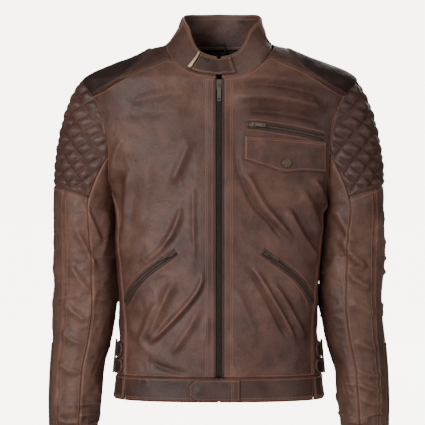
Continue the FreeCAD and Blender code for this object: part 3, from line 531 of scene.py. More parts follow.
# --------------------------------------------------------------- mesh tools
def run_length(pts, axis):
    """Distance travelled along a grid axis."""
    steps = np.linalg.norm(np.diff(pts, axis=axis), axis=-1)
    start = np.zeros_like(np.take(steps, [0], axis=axis))
    return np.concatenate([start, np.cumsum(steps, axis=axis)], axis=axis)


class Mesh:
    """Collects islands of geometry with a material index for each face."""

    def __init__(self):
        self.verts, self.faces, self.mats, self.count = [], [], [], 0

    def add(self, verts, faces, mats=0):
        """mats is one index, or a list with one for each face."""
        verts = np.asarray(verts, float).reshape(-1, 3)
        self.faces += [[i + self.count for i in face] for face in faces]
        self.mats += mats if isinstance(mats, list) else [mats] * len(faces)
        self.verts.append(verts)
        self.count += len(verts)

    def make(self, name, materials):
        verts = (np.concatenate(self.verts) + ORIGIN) * 0.001
        data = bpy.data.meshes.new(name)
        data.from_pydata(verts.tolist(), [], self.faces)
        for material in materials:
            data.materials.append(material)
        data.polygons.foreach_set("material_index", self.mats)
        data.polygons.foreach_set("use_smooth", [True] * len(self.faces))
        data.update()
        obj = bpy.data.objects.new(name, data)
        bpy.context.scene.collection.objects.link(obj)
        return obj


def grid_quads(rows, cols, flip=False, base=0):
    i, j = np.meshgrid(np.arange(rows - 1), np.arange(cols - 1), indexing="ij")
    corner = (i * cols + j).ravel() + base
    quads = np.stack([corner, corner + cols, corner + cols + 1, corner + 1], 1)
    return quads[:, ::-1] if flip else quads


def sheet(mesh, pts, normals, rise, thick, flip=False, mat=0, inner_mat=None, split=None):
    """Closed leaf from a grid of points; returns its outer grid.

    split picks an edge that gets its own corners, so that shading runs across
    it: 0 bottom, 1 top.
    """
    rows, cols = pts.shape[:2]
    count = rows * cols
    outer = pts + normals * rise[..., None]
    inner = pts + normals * (rise - thick)[..., None]
    verts = [outer.reshape(-1, 3), inner.reshape(-1, 3)]
    index = np.arange(count).reshape(rows, cols)
    rim = []
    for k, edge in enumerate((index[:, 0], index[:, -1], index[0], index[-1])):
        outside, inside = edge, edge + count
        if k == split:
            verts += [verts[0][edge], verts[1][edge]]
            outside = 2 * count + np.arange(len(edge))
            inside = outside + len(edge)
        quads = np.stack([outside[:-1], outside[1:], inside[1:], inside[:-1]], 1)
        rim.append(quads if (k in (1, 2)) != flip else quads[:, ::-1])
    face = grid_quads(rows, cols, flip)
    reverse = grid_quads(rows, cols, not flip, count)
    rim = np.concatenate(rim)
    inner_mat = mat if inner_mat is None else inner_mat
    mesh.add(np.concatenate(verts), np.concatenate([face, reverse, rim]).tolist(),
             [mat] * len(face) + [inner_mat] * len(reverse) + [mat] * len(rim))
    return outer


def edge_roll(pts, drop=1.5, width=4.0, edges="lrbt"):
    """Fall of a rounded edge, and the distance to the nearest edge."""
    run_u, run_v = run_length(pts, 0), run_length(pts, 1)
    distances = {"l": run_u, "r": run_u[-1:] - run_u,
                 "b": run_v, "t": run_v[:, -1:] - run_v}
    near = np.minimum.reduce([distances[edge] for edge in edges])
    return -drop * np.clip(1 - near / width, 0, 1) ** 2.2, near


def path_inset(outer, edge, inset):
    """Line on a grid, a set distance in from one edge."""
    grid = {"l": outer, "r": outer[::-1], "b": outer.transpose(1, 0, 2),
            "t": outer[:, ::-1].transpose(1, 0, 2)}[edge]
    run = run_length(grid, 0)
    path = []
    for j in range(grid.shape[1]):
        k = min(max(np.searchsorted(run[:, j], inset), 1), len(run) - 1)
        t = (inset - run[k - 1, j]) / max(run[k, j] - run[k - 1, j], 1e-9)
        path.append(grid[k - 1, j] * (1 - t) + grid[k, j] * t)
    return np.array(path)


def resample(path, step):
    """Evenly spaced points on a path, with unit tangents."""
    run = run_length(path, 0)
    count = max(int(run[-1] / step), 1)
    where = (np.arange(count) + 0.5) * run[-1] / count

    def at(distance):
        return np.stack([np.interp(distance, run, path[:, k]) for k in range(3)], 1)
    ahead, behind = at(np.minimum(where + 0.6, run[-1])), at(np.maximum(where - 0.6, 0))
    return at(where), unit(ahead - behind)


def kd_tree(pts):
    tree = KDTree(len(pts))
    for i, point in enumerate(pts):
        tree.insert(point, i)
    tree.balance()
    return tree


def nearest_value(places, values):
    """Function that looks up the value at the place nearest to each point."""
    tree = kd_tree(places)
    return lambda pts: np.array([values[tree.find(point)[1]] for point in pts])


def grid_normals(outer, flip=False):
    normals = np.cross(np.gradient(outer, axis=0), np.gradient(outer, axis=1))
    normals = unit(-normals if flip else normals)
    return nearest_value(outer.reshape(-1, 3), normals.reshape(-1, 3))


# One stitch is a six-sided rod with pointed ends
STITCH_FACES = []
for a in range(6):
    b = (a + 1) % 6
    STITCH_FACES += [[0, 1 + b, 1 + a], [1 + a, 1 + b, 7 + b, 7 + a], [13, 7 + a, 7 + b]]


def stitches(mesh, path, normal_at, pitch=4.3, length=3.3, lift=0.16, radius=0.50, sink=0.35):
    """Row of thread stitches in material slot 1; their tips sink into the leather."""
    places, along = resample(path, pitch)
    out = normal_at(places)
    across = unit(np.cross(out, along))
    reach = (along + across * thread_random.uniform(-0.06, 0.06, (len(places), 1))) * length
    centre = places + out * lift
    turn = np.arange(6)[:, None] * math.pi / 3
    ring = (across[:, None] * np.cos(turn) + out[:, None] * np.sin(turn)) * radius
    verts = np.concatenate([
        (centre - reach / 2 - out * sink)[:, None],
        (centre - reach * 0.32)[:, None] + ring,
        (centre + reach * 0.32)[:, None] + ring,
        (centre + reach / 2 - out * sink)[:, None]], 1)
    for stitch in verts:
        mesh.add(stitch, STITCH_FACES, 1)


def stitch_rows(mesh, outer, flip, rows):
    """Rows are (edge, inset) or (edge, inset, from share, to share)."""
    normal_at = grid_normals(outer, flip)
    for edge, inset, *part in rows:
        path = path_inset(outer, edge, inset)
        if part:
            path = path[int(len(path) * part[0]):int(len(path) * part[1])]
        if len(path) > 3:
            stitches(mesh, path[1:-1], normal_at)
    return normal_at


def tube(mesh, path, radius, sides=8, mat=0, closed=False, squash=1.0,
         normals=(0.1, -1, 0.2)):
    """Round cord along a path; squash scales it along the normals."""
    path = np.asarray(path, float)
    count = len(path)
    if closed:
        along = unit(np.roll(path, -1, 0) - np.roll(path, 1, 0))
    else:
        along = unit(np.gradient(path, axis=0))
    across = unit(np.cross(along, normals))
    out = np.cross(across, along)
    turn = 2 * math.pi * np.arange(sides)[:, None] / sides
    radius = np.broadcast_to(radius, (count,))[:, None, None]
    verts = path[:, None] + (across[:, None] * np.cos(turn) * radius
                             + out[:, None] * np.sin(turn) * radius * squash)
    faces = []
    for i in range(count if closed else count - 1):
        here, ahead = i * sides, (i + 1) % count * sides
        for k in range(sides):
            k2 = (k + 1) % sides
            faces.append([here + k, here + k2, ahead + k2, ahead + k])
    if not closed:
        faces.append(list(range(sides))[::-1])
        faces.append([(count - 1) * sides + k for k in range(sides)])
    mesh.add(verts, faces, mat)


def block(mesh, centre, axes, size, bevel):
    """Small metal block with trimmed corners, in material slot 1."""
    half_x, half_y, half_z = (q / 2 for q in size)
    in_x, in_y = half_x - bevel, half_y - bevel
    outline = [(-in_x, -half_y), (in_x, -half_y), (half_x, -in_y), (half_x, in_y),
               (in_x, half_y), (-in_x, half_y), (-half_x, in_y), (-half_x, -in_y)]
    levels = [(-half_z, 1.0), (half_z - bevel, 1.0), (half_z, 0.86)]   # (height, scale)
    verts = [centre + axes[0] * x * scale + axes[1] * y * scale + axes[2] * z
             for z, scale in levels for x, y in outline]
    faces = []
    for base in (0, 8):
        for i in range(8):
            i2 = (i + 1) % 8
            faces.append([base + i, base + i2, base + 8 + i2, base + 8 + i])
    faces.append(list(range(8))[::-1])
    faces.append(list(range(16, 24)))
    mesh.add(verts, faces, 1)


def patch(bottom, top, left, right, surface=torso_surface, side=1, step=STEP):
    """Grid of surface coordinates filled in between four edge lines."""
    edges = [np.array(edge, float) * (side, 1) for edge in (bottom, top, left, right)]
    runs = [run_length(surface(edge[:, 0], edge[:, 1])[0], 0) for edge in edges]

    def spread(k, count):
        where = np.linspace(0, runs[k][-1], count)
        return np.stack([np.interp(where, runs[k], edges[k][:, j]) for j in (0, 1)], 1)
    cols = max(int(max(runs[0][-1], runs[1][-1]) / step), 3)
    rows = max(int(max(runs[2][-1], runs[3][-1]) / step), 3)
    bottom, top = spread(0, cols), spread(1, cols)
    left, right = spread(2, rows), spread(3, rows)
    u = np.linspace(0, 1, cols)[:, None, None]
    v = np.linspace(0, 1, rows)[None, :, None]
    grid = ((1 - v) * bottom[:, None] + v * top[:, None] + (1 - u) * left[None]
            + u * right[None] - ((1 - u) * (1 - v) * bottom[0] + u * (1 - v) * bottom[-1]
                                 + (1 - u) * v * top[0] + u * v * top[-1]))
    return grid[..., 0], grid[..., 1]


def strip(bottom, top, count, **options):
    """Patch whose side edges are straight."""
    return patch(bottom, top, line(bottom[0], top[0], count),
                 line(bottom[-1], top[-1], count), **options)


def level_line(phis, level):
    return [(phi, level) for phi in phis]


def front_line(path, steps=6):
    """Smoothed (x, height) line as (angle, height)."""
    return [(phi_of(x, z), z) for x, z in smooth_line(path, steps)]


def leaf(grid, relief, thick, flip=False, surface=torso_surface, roll=(1.5, 4.0),
         lift=0.0, inner_mat=2):
    """Sheet over a grid; returns its mesh, its outer grid and its reverse side."""
    pts, normals = surface(*grid)
    fall = edge_roll(pts, *roll)[0]
    rise = fall + lift + relief(pts)
    mesh = Mesh()
    outer = sheet(mesh, pts, normals, rise, thick + fall * 0.35, flip, 0, inner_mat)
    return mesh, outer, pts + normals * (rise - thick)[..., None]


# ----------------------------------------------------- joining to the frame
def solidify(obj, wall):
    """Gives an open surface a wall in millimetres, and applies it."""
    modifier = obj.modifiers.new("s", "SOLIDIFY")
    modifier.thickness = wall * 0.001
    modifier.offset = -1.0
    depsgraph = bpy.context.evaluated_depsgraph_get()
    data = bpy.data.meshes.new_from_object(obj.evaluated_get(depsgraph))
    obj.modifiers.clear()
    old = obj.data
    obj.data = data
    data.name = obj.name
    bpy.data.meshes.remove(old)


def set_blend(obj, body_a, body_b, weight_at):
    """Bakes the transform and works out weights from a function of place; the weights are not
    stored, so nothing bends, and body_a and body_b are not used.
    """
    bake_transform(obj)
    coords = np.empty(len(obj.data.vertices) * 3)
    obj.data.vertices.foreach_get("co", coords)
    weight = np.clip(weight_at(coords.reshape(-1, 3) * 1000 - ORIGIN), 0, 1)
    obj.data.update()


def finish(mesh, name, materials, move, stands_for=(), wall=0):
    """move is a body to ride, or (body, body, weight function), whose weights are worked out but
    not applied.
    """
    obj = mesh.make(name, materials)
    if wall:
        solidify(obj, wall)
    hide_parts(*(stands_for or (name,)))
    if isinstance(move, str):
        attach(obj, move)
    else:
        set_blend(obj, *move)


# (height, x) where the front's movement has died away, and the line above which it has
front_edge_x = curve([(-20, 165), (44, 165), (100, 168), (187, 176), (300, 184), (367, 187),
                      (400, 195), (450, 197), (545, 216)])
FRONT_STILL_LINE = [(50, 664), (70, 650), (84, 636), (90, 618)] + YOKE_SEAM + [(216, 531)]


def front_move(side, name):
    def weight(pts):
        x, y, z = pts[:, 0] * side, pts[:, 1], pts[:, 2]
        distance = line_dist(x, z, FRONT_STILL_LINE)[0]
        moving = ease(front_edge_x(z) - x, 0, 40) * ease(distance, 2, 62)
        return np.where(y > -8, 0, moving)
    return "torso", "front_" + name, weight


# ---------------------------------------------------------------- materials
BLACK, WHITE = (0, 0, 0), (1, 1, 1)


def from_srgb(rgb):
    """8-bit sRGB to linear RGBA."""
    def channel(value):
        value /= 255.0
        return value / 12.92 if value <= 0.04045 else ((value + 0.055) / 1.055) ** 2.4
    return (*map(channel, rgb), 1.0)


def shade(color, factor):
    return tuple(min(q * factor, 1) for q in color[:3]) + (1,)


class Shader:
    """Material with a Principled surface, and short ways to add nodes to it."""

    def __init__(self, name):
        self.material = bpy.data.materials.new(name)
        self.material.use_nodes = True
        self.tree = self.material.node_tree
        self.tree.nodes.clear()
        output = self.new("ShaderNodeOutputMaterial")
        self.surface = self.new("ShaderNodeBsdfPrincipled")
        self.link(self.surface.outputs[0], output.inputs[0])
        self.coords = self.new("ShaderNodeTexCoord").outputs["Object"]

    def new(self, kind, **settings):
        node = self.tree.nodes.new(kind)
        for key, value in settings.items():
            setattr(node, key, value)
        return node

    def link(self, output, socket):
        self.tree.links.new(output, socket)

    def fill(self, socket, value):
        """Links a node output to a socket, or sets a plain value."""
        if hasattr(value, "is_output"):
            self.link(value, socket)
        else:
            socket.default_value = value

    def texture(self, kind, scale, **settings):
        node = self.new(kind, **settings)
        node.inputs["Scale"].default_value = scale
        self.link(self.coords, node.inputs["Vector"])
        return node

    def noise(self, scale, detail=4, rough=0.55, warp=0.0):
        node = self.texture("ShaderNodeTexNoise", scale)
        node.inputs["Detail"].default_value = detail
        node.inputs["Roughness"].default_value = rough
        node.inputs["Distortion"].default_value = warp
        return node.outputs["Fac"]

    def cells(self, scale, feature="F1"):
        node = self.texture("ShaderNodeTexVoronoi", scale, feature=feature)
        return node.outputs["Distance"]

    def pointiness(self):
        return self.new("ShaderNodeNewGeometry").outputs["Pointiness"]

    def ramp(self, factor, *stops):
        """Stops are (position, colour)."""
        node = self.new("ShaderNodeValToRGB")
        elements = node.color_ramp.elements
        while len(elements) > 1:
            elements.remove(elements[-1])
        for i, (position, color) in enumerate(stops):
            element = elements[0] if i == 0 else elements.new(position)
            element.position = position
            element.color = (*color[:3], 1)
        self.link(factor, node.inputs[0])
        return node.outputs[0]

    def mix(self, factor, color_a, color_b, kind="MIX"):
        node = self.new("ShaderNodeMix", data_type="RGBA", blend_type=kind)
        for index, value in ((0, factor), (6, color_a), (7, color_b)):
            self.fill(node.inputs[index], value)
        return node.outputs[2]

    def math(self, operation, a, b=0.0, clamp=False):
        node = self.new("ShaderNodeMath", operation=operation, use_clamp=clamp)
        self.fill(node.inputs[0], a)
        self.fill(node.inputs[1], b)
        return node.outputs[0]

    def times(self, a, b):
        return self.math("MULTIPLY", a, b)

    def bump(self, height, strength, distance, below=None):
        node = self.new("ShaderNodeBump")
        node.inputs["Strength"].default_value = strength
        node.inputs["Distance"].default_value = distance
        self.link(height, node.inputs["Height"])
        if below is not None:
            self.link(below, node.inputs["Normal"])
        return node.outputs[0]

    def set(self, **values):
        for key, value in values.items():
            self.fill(self.surface.inputs[key.replace("_", " ")], value)


LEATHER_TONE = 0.56                     # darkens all leather colours
LEATHER_WEAR = 0.42                     # scales rubbed edges on all leather
RUBBED = from_srgb((150, 108, 90))


def leather(name, base, dark, light, wear, rough, spec=0.28, fade=False):
    """Mottled leather with rubbed edges and painted shade in its hollows; fade adds painted
    shading that darkens it towards the top.
    """
    m = Shader(name)
    blotches = m.noise(7.5, detail=5, rough=0.6, warp=0.4)
    mottle = m.noise(34, detail=6, rough=0.62, warp=0.3)
    speckle = m.noise(210, detail=5, rough=0.6)
    dark, base, light = (shade(from_srgb(rgb), LEATHER_TONE) for rgb in (dark, base, light))
    color = m.ramp(blotches, (0.26, dark), (0.50, base), (0.76, light))
    tint = m.ramp(mottle, (0.32, (0.62, 0.60, 0.60)), (0.5, (0.98, 0.98, 0.98)),
                  (0.70, (1.28, 1.24, 1.20)))
    color = m.mix(0.75, color, tint, "MULTIPLY")
    tint = m.ramp(speckle, (0.35, (0.80, 0.79, 0.78)), (0.65, (1.14, 1.13, 1.12)))
    color = m.mix(0.6, color, tint, "MULTIPLY")
    # painted shading: lighter low down and darker towards the top, as the light falls
    if fade:
        split = m.new("ShaderNodeSeparateXYZ")
        m.link(m.coords, split.inputs[0])
        tint = m.ramp(split.outputs["Z"], (0.22, (1.10, 1.10, 1.12)),
                      (0.56, (0.86, 0.84, 0.83)))
        color = m.mix(1.0, color, tint, "MULTIPLY")
    # tan on raised edges where the leather is rubbed (wear), painted shade in the hollows
    pointiness = m.pointiness()
    edge = m.ramp(pointiness, (0.515, BLACK), (0.58, WHITE))
    painted_hollow_shade = m.ramp(pointiness, (0.43, WHITE), (0.495, BLACK))
    color = m.mix(m.times(edge, wear * LEATHER_WEAR), color, RUBBED)
    # painted shade: hollows are mixed towards a near-black brown, as if in shadow
    color = m.mix(m.times(painted_hollow_shade, 0.55), color,
                  (dark[0] * 0.35, dark[1] * 0.33, dark[2] * 0.33, 1))
    # pores, creases between cells, a soft unevenness, then two scales of veins
    pores = m.math("ADD", m.times(m.cells(760), 0.6), m.times(m.cells(1500), 0.35))
    pores = m.math("ADD", pores, m.times(m.noise(420), 0.8))
    creases = m.ramp(m.cells(230, "DISTANCE_TO_EDGE"), (0.0, BLACK), (0.08, WHITE))
    normal = m.bump(pores, strength=0.42, distance=0.0006)
    normal = m.bump(creases, strength=0.10, distance=0.0005, below=normal)
    normal = m.bump(m.noise(60, detail=5, rough=0.6), strength=0.30, distance=0.0025,
                    below=normal)
    for pattern, width, strength, distance in (
            (dict(scale=26, detail=3, rough=0.55, warp=1.6), 0.055, 0.11, 0.0022),
            (dict(scale=75, detail=2, rough=0.5, warp=1.2), 0.05, 0.09, 0.0010)):
        vein = m.math("ABSOLUTE", m.math("SUBTRACT", m.noise(**pattern), 0.5))
        vein = m.ramp(vein, (0.0, BLACK), (width, WHITE))
        normal = m.bump(vein, strength, distance, normal)
    # mottled shine, smoother on rubbed edges
    roughness = m.math("ADD", rough - 0.15, m.times(mottle, 0.26))
    roughness = m.math("SUBTRACT", roughness, m.times(edge, 0.07), clamp=True)
    m.set(Base_Color=color, Roughness=roughness, Normal=normal, Specular_IOR_Level=spec,
          Sheen_Weight=0.0, Sheen_Roughness=0.5)
    return m.material


def thread(name, rgb):
    m = Shader(name)
    twist = m.texture("ShaderNodeTexWave", 900).outputs["Fac"]
    color = from_srgb(rgb)
    m.set(Base_Color=m.mix(m.noise(500, detail=2), color, shade(color, 0.6)),
          Roughness=0.75, Normal=m.bump(twist, strength=0.4, distance=0.0003))
    return m.material


def cloth(name, rgb, weave, rough):
    m = Shader(name)
    color = from_srgb(rgb)
    bands = [m.texture("ShaderNodeTexWave", weave / 6.0, bands_direction=axis).outputs["Fac"]
             for axis in "XZ"]
    height = m.math("MAXIMUM", *bands)
    mixed = m.mix(m.noise(60), color, shade(color, 0.55))
    mixed = m.mix(m.times(height, 0.35), mixed, shade(color, 1.9))
    m.set(Base_Color=mixed, Roughness=rough, Sheen_Weight=0.2,
          Normal=m.bump(height, strength=0.35, distance=0.0004))
    return m.material


def metal(name, rgb, rough, tarnish):
    m = Shader(name)
    color = from_srgb(rgb)
    stain = m.ramp(m.noise(260, detail=5, rough=0.65), (0.38, BLACK), (0.66, WHITE))
    mixed = m.mix(m.times(stain, tarnish), color, (0.02, 0.018, 0.015, 1))
    edge = m.ramp(m.pointiness(), (0.51, BLACK), (0.60, WHITE))
    mixed = m.mix(m.times(edge, 0.5), mixed, shade(color, 1.6))
    roughness = m.math("ADD", rough, m.times(stain, 0.25), clamp=True)
    m.set(Base_Color=mixed, Metallic=0.95, Roughness=roughness,
          Normal=m.bump(m.noise(900, detail=3), strength=0.12, distance=0.0003))
    return m.material


# Leather colours are base, dark and light
# the shell takes the painted shading by height (fade)
SHELL = leather("leather_shell", (106, 74, 64), (76, 50, 43), (134, 96, 80),
                wear=0.40, rough=0.50, fade=True)
SLEEVES = leather("leather_sleeve", (112, 79, 68), (80, 54, 46), (140, 101, 86),
                  wear=0.40, rough=0.50)
QUILTED = leather("leather_quilted", (88, 60, 53), (62, 41, 36), (110, 78, 68),
                  wear=0.55, rough=0.46)
YOKE = leather("leather_yoke", (84, 58, 50), (60, 41, 35), (104, 73, 62),
               wear=0.40, rough=0.54, spec=0.20)
BAND = leather("leather_band", (84, 58, 51), (62, 42, 37), (106, 76, 66),
               wear=0.42, rough=0.48)
STRAP = leather("leather_strap", (70, 48, 41), (46, 31, 27), (96, 67, 57),
                wear=0.5, rough=0.46)
COLLAR = leather("leather_collar", (94, 66, 58), (70, 48, 42), (114, 84, 74),
                 wear=0.42, rough=0.49)
BACKING = cloth("leather_flesh_side", (52, 40, 36), weave=900, rough=0.95)
TAN_THREAD = thread("thread_tan", (160, 112, 84))
DARK_THREAD = thread("thread_dark", (112, 78, 60))
LINING = cloth("lining_weave", (24, 20, 20), weave=1500, rough=0.7)
TAPE = cloth("zip_tape_weave", (30, 24, 22), weave=2600, rough=0.85)
TEETH = metal("zip_teeth_metal", (82, 72, 60), rough=0.36, tarnish=0.65)
SLIDER = metal("slider_metal_aged", (128, 118, 106), rough=0.30, tarnish=0.45)
FRONT_SLIDER = metal("slider_metal_black", (86, 79, 70), rough=0.32, tarnish=0.45)
STUD = metal("stud_metal_aged", (110, 92, 76), rough=0.30, tarnish=0.55)
BAR = metal("bar_metal_bright", (186, 166, 126), rough=0.34, tarnish=0.30)
BUCKLE = metal("buckle_metal_black", (52, 47, 44), rough=0.34, tarnish=0.4)
CORD = cloth("loop_cord_weave", (22, 19, 19), weave=2200, rough=0.8)
cloth("armour_foam", (40, 40, 44), weave=800, rough=0.9)
OVERLAY = leather("leather_shoulder_top", (58, 40, 35), (40, 28, 25), (76, 54, 47),
                  wear=0.30, rough=0.58, spec=0.16)

# ------------------------------------------------------------- torso panels
# Material slots: 0 face, 1 thread or metal, 2 reverse side or zip lips
armhole_front = armhole(43, GAP)      # where the yoke seam meets the armhole
armhole_side = armhole(150, GAP)      # where the side seam meets it
yoke_line = [(phi, z - GAP) for phi, z in front_line(
    YOKE_SEAM + [(torso(*armhole_front)[0], armhole_front[1])])][1:-1] + [armhole_front]


def front_panel(side, name):
    flip = side < 0
    edge_x, neck_phi, seam_x = 5, 2.6, SIDE_SEAM_X - GAP
    bottom = [(phi_of(x, PANEL_Z), PANEL_Z) for x in np.linspace(edge_x, seam_x, 40)]
    top = [(phi, neck_z(phi)) for phi in np.linspace(neck_phi, 46.5, 24)] + yoke_line
    left = [(phi_of(edge_x, z), z) for z in np.linspace(PANEL_Z, neck_z(neck_phi), 40)]
    left[-1] = top[0]
    right = line((phi_of(seam_x, PANEL_Z), PANEL_Z),
                 (armhole_side[0] - SEAM_GAP, armhole_side[1]), 16)
    right += [armhole(angle, GAP) for angle in np.linspace(150, 43, 40)[1:]]
    mesh, outer, _ = leaf(patch(bottom, top, left, right, side=side), shell_relief, 2.2, flip)
    normal_at = stitch_rows(mesh, outer, flip, [
        ("l", 7.2), ("l", 15.5), ("l", 18.5), ("b", 3.6), ("t", 3.4), ("r", 3.6),
        ("r", 6.6, 0, 0.62)])
    # piped edge beside the zip
    piping = path_inset(outer, "l", 2.2)[::2]
    normals = normal_at(piping)
    tube(mesh, piping + normals * 0.5, 1.9, squash=0.8, normals=normals)
    # a stitch row on each side of the pockets
    for pocket in (HAND_POCKET, CHEST_POCKET) if side > 0 else (HAND_POCKET,):
        path = np.array(smooth_line(pocket, 8))
        along = unit(np.gradient(path, axis=0))
        sideways = np.stack([-along[:, 1], along[:, 0]], 1)
        for offset in (9.5, -9.5):
            stitches(mesh, on_front(path + sideways * offset, side)[0], normal_at, lift=0.4)
    finish(mesh, "front_panel_" + name, [SHELL, TAN_THREAD, BACKING], front_move(side, name))


def side_panel(side, name):
    flip = side < 0
    bottom = line((phi_of(SIDE_SEAM_X + GAP, PANEL_Z), PANEL_Z),
                  (BACK_SEAM - SEAM_GAP, PANEL_Z), 12)
    top = [armhole(150 + 60 * i / 16.0, GAP + 0.4) for i in range(17)]
    top[0] = (armhole_side[0] + SEAM_GAP, top[0][1])
    mesh, outer, _ = leaf(strip(bottom, top, 14, side=side), shell_relief, 2.2, flip)
    stitch_rows(mesh, outer, flip, [(edge, 3.6) for edge in "lrbt"])
    finish(mesh, "side_panel_" + name, [SHELL, DARK_THREAD, BACKING], "torso")


def yoke(side, name):
    """Shoulder yoke, with its upper layer as a step in the same sheet."""
    flip = side < 0
    back_phi = 179.8
    front = ([(46.7, neck_z(46.7) + 0.1)] + [(phi, z + 2 * GAP) for phi, z in yoke_line[1:-1]]
             + [armhole(42.4, GAP)])
    back = line((back_phi, BACK_YOKE_Z), armhole(-47, GAP), 24)
    neck = [(phi, neck_z(phi) - 0.2) for phi in
            np.concatenate([np.linspace(50, 90, 16), np.linspace(96, back_phi, 16)])]
    inner = [front[0]] + neck + line((back_phi, neck[-1][1]), (back_phi, BACK_YOKE_Z), 8)[1:]
    outside = [armhole(42.4 - 89.4 * i / 30.0, GAP) for i in range(31)]
    pts, normals = torso_surface(*patch(front, back, inner, outside, side=side))
    distance, edge_side, _ = line_dist(pts[..., 0] * side, pts[..., 2],
                                       smooth_line(OVERLAY_EDGE))
    overlay = np.where(pts[..., 1] < 10, edge_side * distance, 20)
    rise = (edge_roll(pts, 1.4, 4.0)[0] + edge_roll(pts, 1.8, 14.0, "r")[0]
            + shell_relief(pts) * 0.8 + 1.5 * ease(overlay, -0.9, 0.9)
            + 0.8 * hump(overlay - 3, 3.0))
    mesh = Mesh()
    outer = sheet(mesh, pts, normals, rise, 2.6, flip, 0, 2)
    for i in np.nonzero((overlay[:-1, :-1] > 0).ravel())[0]:
        mesh.mats[i] = 3
    if side > 0:
        # strip behind the centre-back join
        grid = np.meshgrid(np.linspace(176.5, 183.5, 9),
                           np.linspace(519, neck_z(180) + 3.0, 20), indexing="ij")
        sheet(mesh, *torso_surface(*grid), np.full(grid[0].shape, -2.9), 1.0, flip, 0, 2)
    normal_at = stitch_rows(mesh, outer, flip, [
        ("b", 3.6), ("b", 6.6), ("t", 3.6), ("r", 3.8), ("l", 4.0, 0, 0.62)])
    seam = np.array(smooth_line([(x + 2.2, z + 2.2) for x, z in OVERLAY_EDGE], 8))
    seam = seam[seam[:, 0] < half_width(seam[:, 1]) - 2]
    seam = on_front(seam, side)[0] - (0, 1.0, 0)
    stitches(mesh, seam, normal_at, lift=1.3)
    finish(mesh, "yoke_" + name, [YOKE, DARK_THREAD, BACKING, OVERLAY], "torso")


def waistband(name, bottom_phis, top_phis, move, side=1, left_inset=3.6):
    grid = strip(level_line(bottom_phis, 1.0), level_line(top_phis, BAND_H), 6, side=side)
    mesh, outer, _ = leaf(grid, band_relief, 4.2, side < 0, roll=(2.0, 5.0))
    stitch_rows(mesh, outer, side < 0, [
        ("t", 4.2), ("b", 4.6), ("b", 7.4), ("l", left_inset), ("r", 3.6)])
    finish(mesh, name, [BAND, TAN_THREAD, BACKING], move)


def collar_part(name, phis, relief, end_rows, inner_rows, move, side=1):
    """Stretch of collar, stitched on both faces and thinned at its foot."""
    flip = side < 0
    grid = strip(level_line(phis, -0.05), level_line(phis, 1.0), 6,
                 surface=collar_surface, side=side)
    mesh, outer, inner = leaf(
        grid, lambda pts: relief(*split_xyz(pts)) - 2.6 * ease(-grid[1], -0.03, 0.02),
        3.0, flip, collar_surface, roll=(1.3, 4.0))
    stitch_rows(mesh, outer, flip, [("t", 3.2), ("t", 6.2), ("b", 3.4)] + end_rows)
    stitch_rows(mesh, inner, not flip, inner_rows)
    finish(mesh, name, [COLLAR, TAN_THREAD, COLLAR], move)


def front_lining(side, name):
    phis = np.linspace(4.0, 73.0, 30)
    grid = strip(level_line(phis, 46.0), [(phi, neck_z(phi) - 2.5) for phi in phis], 10,
                 side=side, step=5.0)
    mesh, _, _ = leaf(grid, shell_relief, 0.9, side < 0, roll=(0, 1), lift=-5.0, inner_mat=0)
    finish(mesh, "lining_" + name, [LINING], front_move(side, name))


def front_collar_relief(x, y, z):
    return 1.2 * noise(x / 22, z / 15, y / 22) - 0.3


def back_collar_relief(x, y, z):
    return 1.3 * noise(x / 24, z / 13, y / 24) + 1.5 * noise(x / 60, z / 40 + 5, y / 60)


for side, name in SIDES:
    front_panel(side, name)
    side_panel(side, name)
    yoke(side, name)
    xs = np.linspace(1.0, SIDE_SEAM_X - GAP, 30)
    waistband("waistband_" + name, phi_of(xs, 0), phi_of(xs, BAND_H),
              front_move(side, name), side, left_inset=4.0)
    collar_part("collar_" + name, np.linspace(2.8, 73.9, 30), front_collar_relief,
                [("r", 3.6), ("l", 4.0)], [("t", 3.4), ("t", 7.2), ("b", 5.0)],
                front_move(side, name), side)
    front_lining(side, name)


def both_halves(half):
    """Adds the mirror image of a line that ends at the centre back."""
    return half + [(360 - phi, z) for phi, z in half[-2::-1]]


def back_panel():
    seam = BACK_SEAM + SEAM_GAP
    bottom = both_halves(level_line(np.linspace(seam, 180, 24), PANEL_Z))
    top = both_halves(line(armhole(-48.0, GAP), (180, BACK_YOKE_Z - 2 * GAP), 20))
    armhole_phi, armhole_z = armhole(210, GAP)
    left = line((seam, PANEL_Z), (armhole_phi + 0.3, armhole_z + 0.2), 14)[:-1]
    left += [armhole(angle, GAP) for angle in np.linspace(210.5, 312, 40)]
    right = [(360 - phi, z) for phi, z in left]
    mesh, outer, _ = leaf(patch(bottom, top, left, right), shell_relief, 2.2)
    stitch_rows(mesh, outer, False, [("l", 3.6), ("r", 3.6), ("b", 3.6), ("t", 3.4),
                                     ("t", 6.4)])
    finish(mesh, "back_panel", [SHELL, TAN_THREAD, BACKING], "torso")


